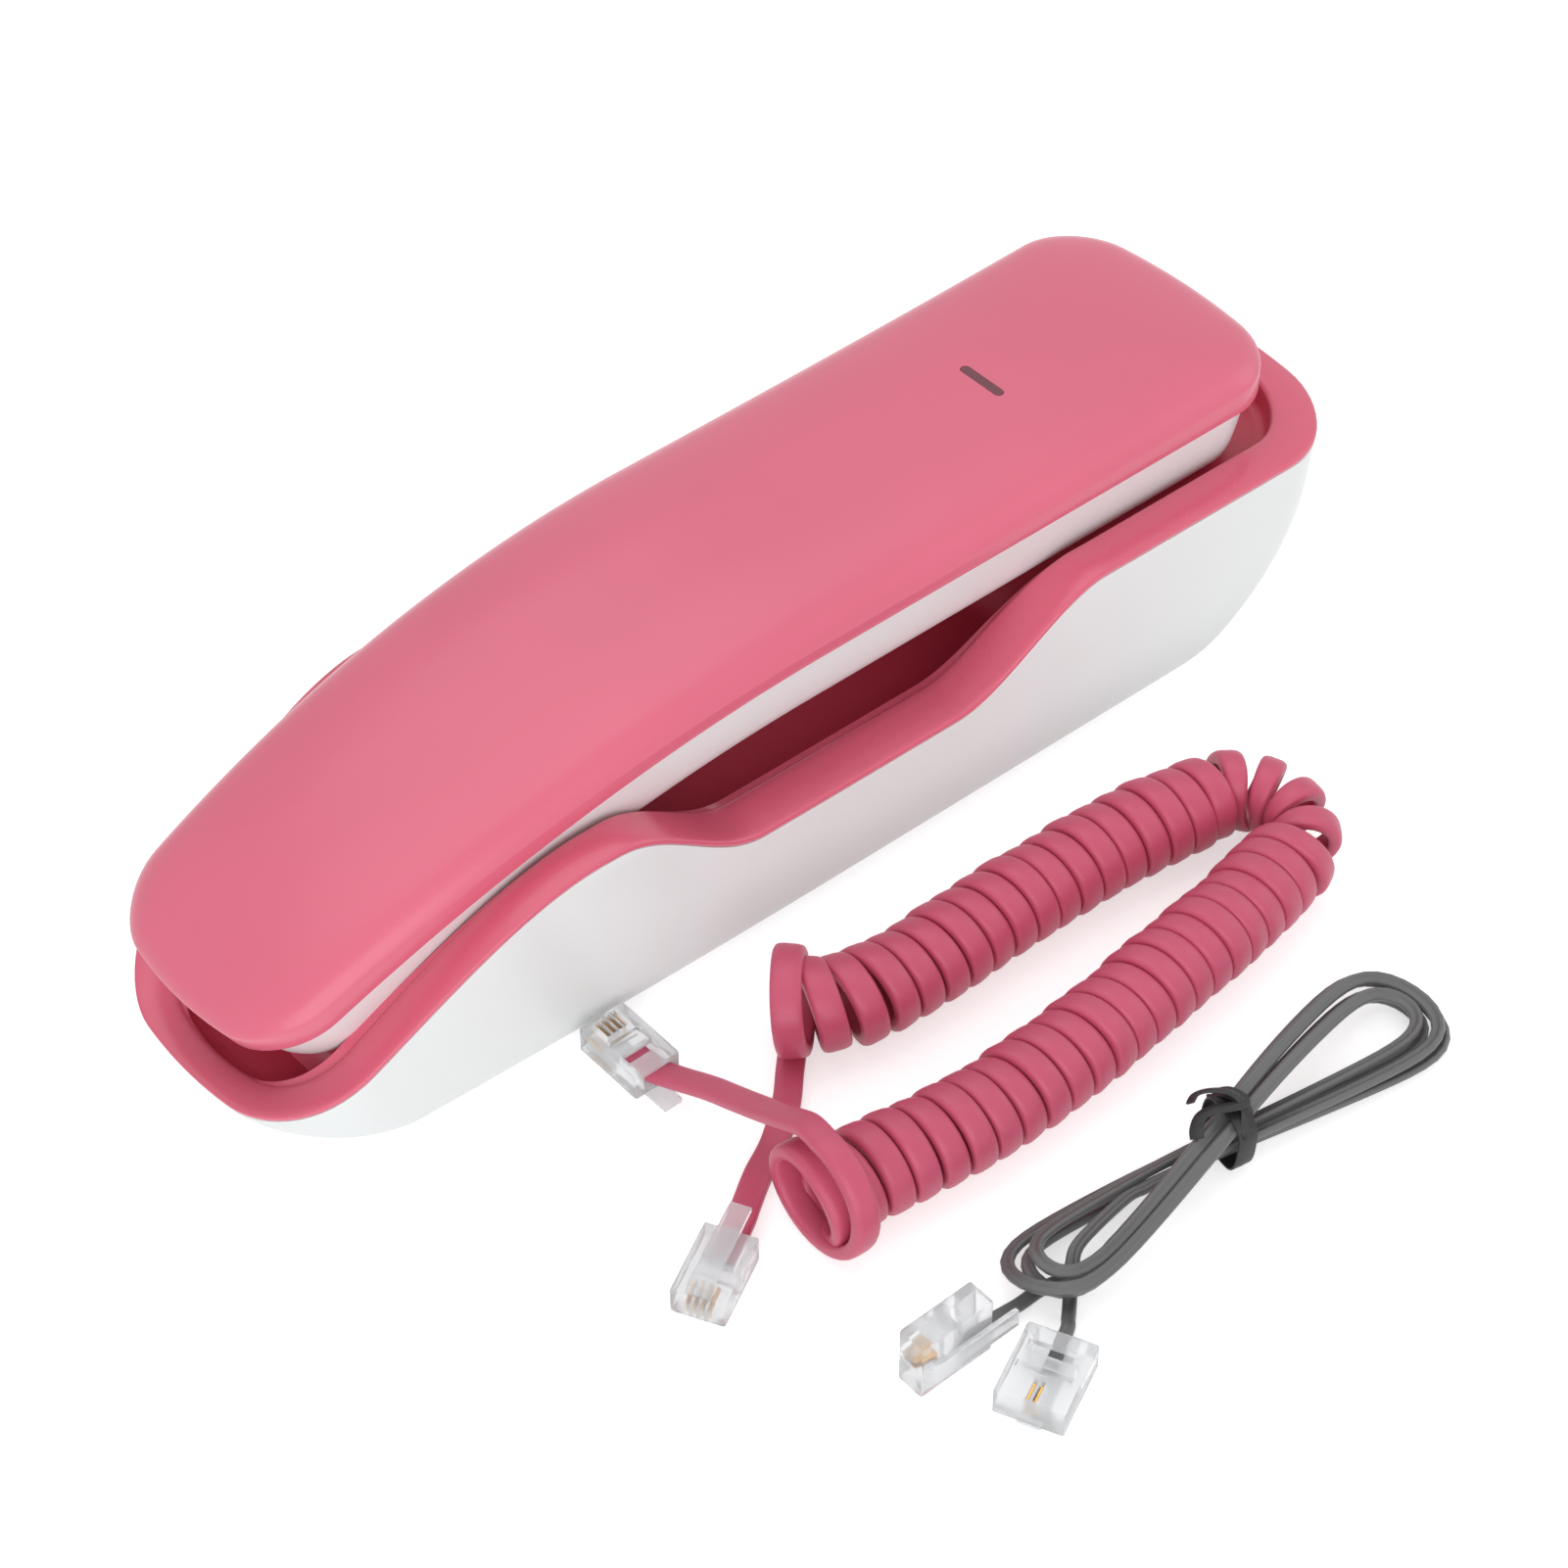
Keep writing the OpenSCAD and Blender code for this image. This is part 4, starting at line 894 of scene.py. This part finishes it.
def make_cover():
    side = [(0.0, level(0.35)), (0.0, lambda s: band(s) * 0.5), (0.0, lambda s: band(s) - 0.5),
            (0.06, lambda s: band(s) - 0.15)]
    top = [(0.2, 0.02), (0.4, 0.1), (0.8, 0.22), (1.4, 0.36), (2.2, 0.49), (3.4, 0.62), (5, 0.73), (7.5, 0.84),
           (10, 0.915), (13, 0.97), (16, 1.0), (18.5, 1.0)]
    inner = [(HS_WALL + 14, level(4.5)), (HS_WALL + 5, level(3.6)), (HS_WALL + 0.6, lambda s: band(s) - 1),
             (HS_WALL, level(0.0))]
    rings = [handset_ring(i, f) for i, f in inner]
    rings += [handset_ring(0.35, level(0)), handset_ring(0.1, level(0.08))]
    rings += [handset_ring(i, f) for i, f in side] + [handset_ring(i, crown(k)) for i, k in top]
    ob = lofted("handset_cover_look", rings, PINK, "handset")
    cut(ob, [slot_ob(45.7, 0, 40, 52, 8.4, 1.6)])
    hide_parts("handset_cover")


def make_handset_shell():
    outer = [(9.5, -12), (6.8, -12), (5.9, -11.94), (5.1, -11.75), (4.4, -11.4), (3.8, -10.9), (3.3, -10.2),
             (2.95, -9.4), (2.6, -8.2), (2.3, -6.6), (2.0, -4.8), (1.7, -2.6), (1.4, -0.5), (1.45, -0.25), (1.6, -0.15)]
    inner = [(3.2, -0.15), (3.8, -4.8), (4.6, -8.6), (6.4, -10.2), (9, -10.2)]
    rings = [handset_ring(i, level(h)) for i, h in outer + inner]
    ob = lofted("handset_shell_look", rings, WHITE, "handset")
    cuts = []
    for row in range(5):
        for col in (-1, 0, 1):
            x, y = KEY_TOP - KEY_PITCH * row, KEY_PITCH * col
            cuts.append(box_ob((x - KEY_HALF_X, y - KEY_HALF_Y, 28), (x + KEY_HALF_X, y + KEY_HALF_Y, 34)))
    cuts.append(rod_ob(EAR_X, 0, 29, 33, 1, 20))
    cuts += [rod_ob(EAR_X + 4.5 * math.cos(a), 4.5 * math.sin(a), 29, 33, 1, 20)
             for a in [math.radians(60 * k) for k in range(6)]]
    for x, y in HANDSET_SCREWS:
        cuts += [rod_ob(x, y, 29, 35, 1.6), rod_ob(x, y, 28, 31, 3)]
    cuts += [rod_ob(0, y, 0, 4, 0.8, 16, at_bend(MIC_S, -DEPTH - 1)) for y in (-2.4, 0, 2.4)]
    cuts.append(box_ob((-6, -3.9, -3.3), (6, 3.9, 3.3), at=at_bend(JACK_S, -5.9)))
    cut(ob, cuts)
    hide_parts("handset_shell")


make_base()
make_tray()
make_cover()
make_handset_shell()


# ------------------------------------------------------------------ keys, feet, screws, sockets and slider
INK_T, FLANGE, FLANGE_T, SHELF = 0.06, 0.7, 0.8, 0.9  # half height of marks; key's flange and its hollow's margin


def digit_ob(text, size, at):
    """Generic digit as a thin raised mesh, centred at the frame at and facing its +Z."""
    cu = bpy.data.curves.new("digit", "FONT")
    cu.body, cu.size, cu.extrude = text, size, INK_T
    cu.align_x, cu.align_y = "CENTER", "CENTER"
    cu.resolution_u = 3
    tmp = place("digit", cu)
    bpy.context.view_layer.update()
    me = bpy.data.meshes.new_from_object(tmp.evaluated_get(bpy.context.evaluated_depsgraph_get()))
    bpy.data.objects.remove(tmp)
    me.transform(Matrix.Diagonal((MM, MM, MM, 1)) @ at)
    me.materials.clear()
    return place("digit", me)


def make_key(node, mark, mat):
    """Key cap with a hollow face below and a flange above that keeps it in the shell."""
    lo, hi = (np.array(q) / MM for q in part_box(node))
    x, y, z, top = (lo[0] + hi[0]) / 2, (lo[1] + hi[1]) / 2, lo[2], hi[2]
    half_x, half_y = (hi[0] - lo[0]) / 2 - FLANGE, (hi[1] - lo[1]) / 2 - FLANGE

    def slab(grow, z0, z1, round_by, segments):
        return box_ob((x - half_x - grow, y - half_y - grow, z0), (x + half_x + grow, y + half_y + grow, z1),
                      round_by, segments)

    cap = slab(0, z, top - 0.7, 0.45, 4)
    cut(cap, [slab(-SHELF, z - 1, z + 0.1, 0.05, 1)], 40)
    parts = [cap, slab(FLANGE, top - FLANGE_T, top, 0.1, 1)]
    face = Matrix(((0, 1, 0, x), (1, 0, 0, y), (0, 0, -1, z + 0.08), (0, 0, 0, 1)))
    # bars of the marks that aren't digits: turn, offset, half length and half width
    bars = {"*": [(90, 0, 1.5, 0.22), (150, 0, 1.5, 0.22), (210, 0, 1.5, 0.22)],
            "#": [(0, -0.5, 1.4, 0.17), (0, 0.5, 1.4, 0.17), (90, -0.5, 1.4, 0.17), (90, 0.5, 1.4, 0.17)],
            "-": [(0, 0, 1.3, 0.2)]}
    if mark in bars:
        parts += [box_ob((-half, off - wide, -INK_T), (half, off + wide, INK_T), 0.03, 1,
                         face @ Matrix.Rotation(math.radians(turn), 4, "Z")) for turn, off, half, wide in bars[mark]]
    else:
        parts.append(digit_ob(mark, 4.6, face))
    mats = [mat] * 2 + [INK] * (len(parts) - 2)
    ob = join(node + "_look", parts, mats, node, 35)
    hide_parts(node)


for key in [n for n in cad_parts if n.startswith("key_")]:
    name = key[4:]
    make_key(key, {"star": "*", "hash": "#"}.get(name, name if len(name) == 1 else "-"),
             PINK if len(name) > 1 and name not in ("star", "hash") else KEY_WHITE)


def make_screws(name, node, body, places, z, head_r, shank_r, length):
    """Pan heads with a cross recess, facing down."""
    parts = []
    for x, y in places:
        head = rod_ob(x, y, z, z + 0.8, head_r * 0.88, 36, r_top=head_r)
        cut(head, [box_ob((x - 1.5, y - 0.3, z - 1), (x + 1.5, y + 0.3, z + 0.5)),
                   box_ob((x - 0.3, y - 1.5, z - 1), (x + 0.3, y + 1.5, z + 0.5))], 30)
        parts += [head, rod_ob(x, y, z + 0.8, z + length, shank_r, 20)]
    ob = join(name, parts, [STEEL] * len(parts), body, 30)
    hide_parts(node)


def make_feet():
    parts = []
    for x, y in FEET:
        parts += [rod_ob(x, y, 0.35, 1.45, 5, 56), rod_ob(x, y, 0, 0.35, 4.6, 56, r_top=5)]
    ob = join("rubber_feet_look", parts, [RUBBER] * len(parts), "base", 30)
    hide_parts("rubber_feet")


def make_contacts():
    """Sprung gold wires on the roofs of the base's two sockets."""
    parts = []
    for x, count, roof in ((CORD_JACK_X, 4, 10.6), (LINE_JACK_X, 6, 10.8)):
        for i in range(count):
            across = x + (i - (count - 1) / 2) * CONTACT_PITCH
            lean = Matrix.Translation((across, 17.5, roof - 0.2)) @ Matrix.Rotation(math.radians(9), 4, "X")
            parts.append(box_ob((-0.16, -9.5, -0.3), (0.16, 0, -0.05), 0.05, 1, lean))
    join("socket_contacts", parts, [GOLD] * len(parts), "base", 30)


def make_slider():
    """Volume slider: a ribbed thumb piece on its carrier."""
    parts = [box_ob((KNOB_X - 9.2, 20.9, 7.9), (KNOB_X + 9.2, 23.0, 13.1), 0.2, 2),
             box_ob((KNOB_X - 3.2, 22.3, 9.0), (KNOB_X + 3.2, 26.4, 12.0), 0.3, 2)]
    ribs = [KNOB_X - 3.1 + 1.04 * i for i in range(6)]
    parts += [box_ob((x, 26.1, 9.2), (x + 0.6, 26.95, 11.8), 0.12, 1) for x in ribs]
    ob = join("volume_knob_look", parts, [BLACK] * len(parts), "volume_knob", 35)
    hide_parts("volume_knob")


make_screws("base_screws_look", "base_screws", "base", BASE_SCREWS, 0.5, 3, 1.5, 8.2)
make_screws("handset_screws_look", "handset_screws", "handset", HANDSET_SCREWS, 31.5, 2.7, 1.2, 7)
make_feet()
make_contacts()
make_slider()


# ------------------------------------------------------------------ the CAD nodes that stay, with their materials
def dress(node, mat):
    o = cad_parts[node]
    if o.data.materials:
        for i in range(len(o.data.materials)):
            o.data.materials[i] = mat
    else:
        o.data.materials.append(mat)


for node, mat in {"base_board": BOARD, "hook_switch": BLACK, "hook_plunger": WHITE, "ringer_buzzer": BLACK,
                  "line_jack": BLACK, "cord_jack": BLACK, "ballast_plate": STEEL, "lamp_lens": LENS,
                  "lamp": LAMP, "handset_board": BOARD, "keypad_mat": RUBBER, "earpiece_capsule": BLACK,
                  "microphone_capsule": BLACK, "handset_jack": BLACK}.items():
    dress(node, mat)


# ------------------------------------------------------------------ floor, light and background
def seen_rays(nt):
    """1 for rays from the camera, mirrors and clear plastic, 0 for light that falls on the object."""
    path = nt.nodes.new("ShaderNodeLightPath")
    out = path.outputs["Is Camera Ray"]
    for kind in ("Is Transmission Ray", "Is Glossy Ray"):
        most = nt.nodes.new("ShaderNodeMath")
        most.operation = "MAXIMUM"
        nt.links.new(out, most.inputs[0])
        nt.links.new(path.outputs[kind], most.inputs[1])
        out = most.outputs[0]
    return out


# floor's grey and glow, and the world's strength for the light that falls on the object
FLOOR_GREY, FLOOR_GLOW, WORLD_LIGHT = 0.86, 0.55, 0.5


def make_stage():
    bpy.ops.mesh.primitive_plane_add(size=6, location=(0, 0, 0))
    floor = bpy.context.object
    floor.name = "floor"
    m = bpy.data.materials.new("floor")
    m.use_nodes = True
    nt = m.node_tree
    nt.nodes.clear()
    out = nt.nodes.new("ShaderNodeOutputMaterial")
    diff = add_node(nt, "ShaderNodeBsdfDiffuse", Color=(*[FLOOR_GREY] * 3, 1))
    em = add_node(nt, "ShaderNodeEmission", Color=(1, 1, 1, 1), Strength=FLOOR_GLOW)
    add = nt.nodes.new("ShaderNodeAddShader")
    mix = nt.nodes.new("ShaderNodeMixShader")
    nt.links.new(diff.outputs[0], add.inputs[0])
    nt.links.new(em.outputs[0], add.inputs[1])
    nt.links.new(seen_rays(nt), mix.inputs[0])
    nt.links.new(diff.outputs[0], mix.inputs[1])
    nt.links.new(add.outputs[0], mix.inputs[2])
    nt.links.new(mix.outputs[0], out.inputs["Surface"])
    floor.data.materials.append(m)
    w = bpy.data.worlds.new("world")
    scene.world = w
    w.use_nodes = True
    nt = w.node_tree
    bg = nt.nodes["Background"]
    set_inputs(bg, Color=(1, 1, 1, 1))
    strength = add_node(nt, "ShaderNodeMapRange", To_Min=WORLD_LIGHT, To_Max=1.0)
    nt.links.new(seen_rays(nt), strength.inputs["Value"])
    nt.links.new(strength.outputs["Result"], bg.inputs["Strength"])


def area(name, at, target, size, power):
    d = bpy.data.lights.new(name, "AREA")
    d.shape = "DISK"
    d.size = size
    d.energy = power
    o = place(name, d)
    o.location = at
    o.rotation_euler = (Vector(target) - Vector(at)).to_track_quat("-Z", "Y").to_euler()


make_stage()
area("top", (0.05, 0.25, 0.9), (0, -0.02, 0), 1.0, 2.3)
area("front", (-0.55, -0.75, 0.35), (0, -0.03, 0.02), 1.0, 4.8)
area("right", (0.8, -0.3, 0.5), (0, 0, 0.02), 0.6, 0.8)
scene.view_settings.view_transform = "Standard"

bpy.context.view_layer.update()
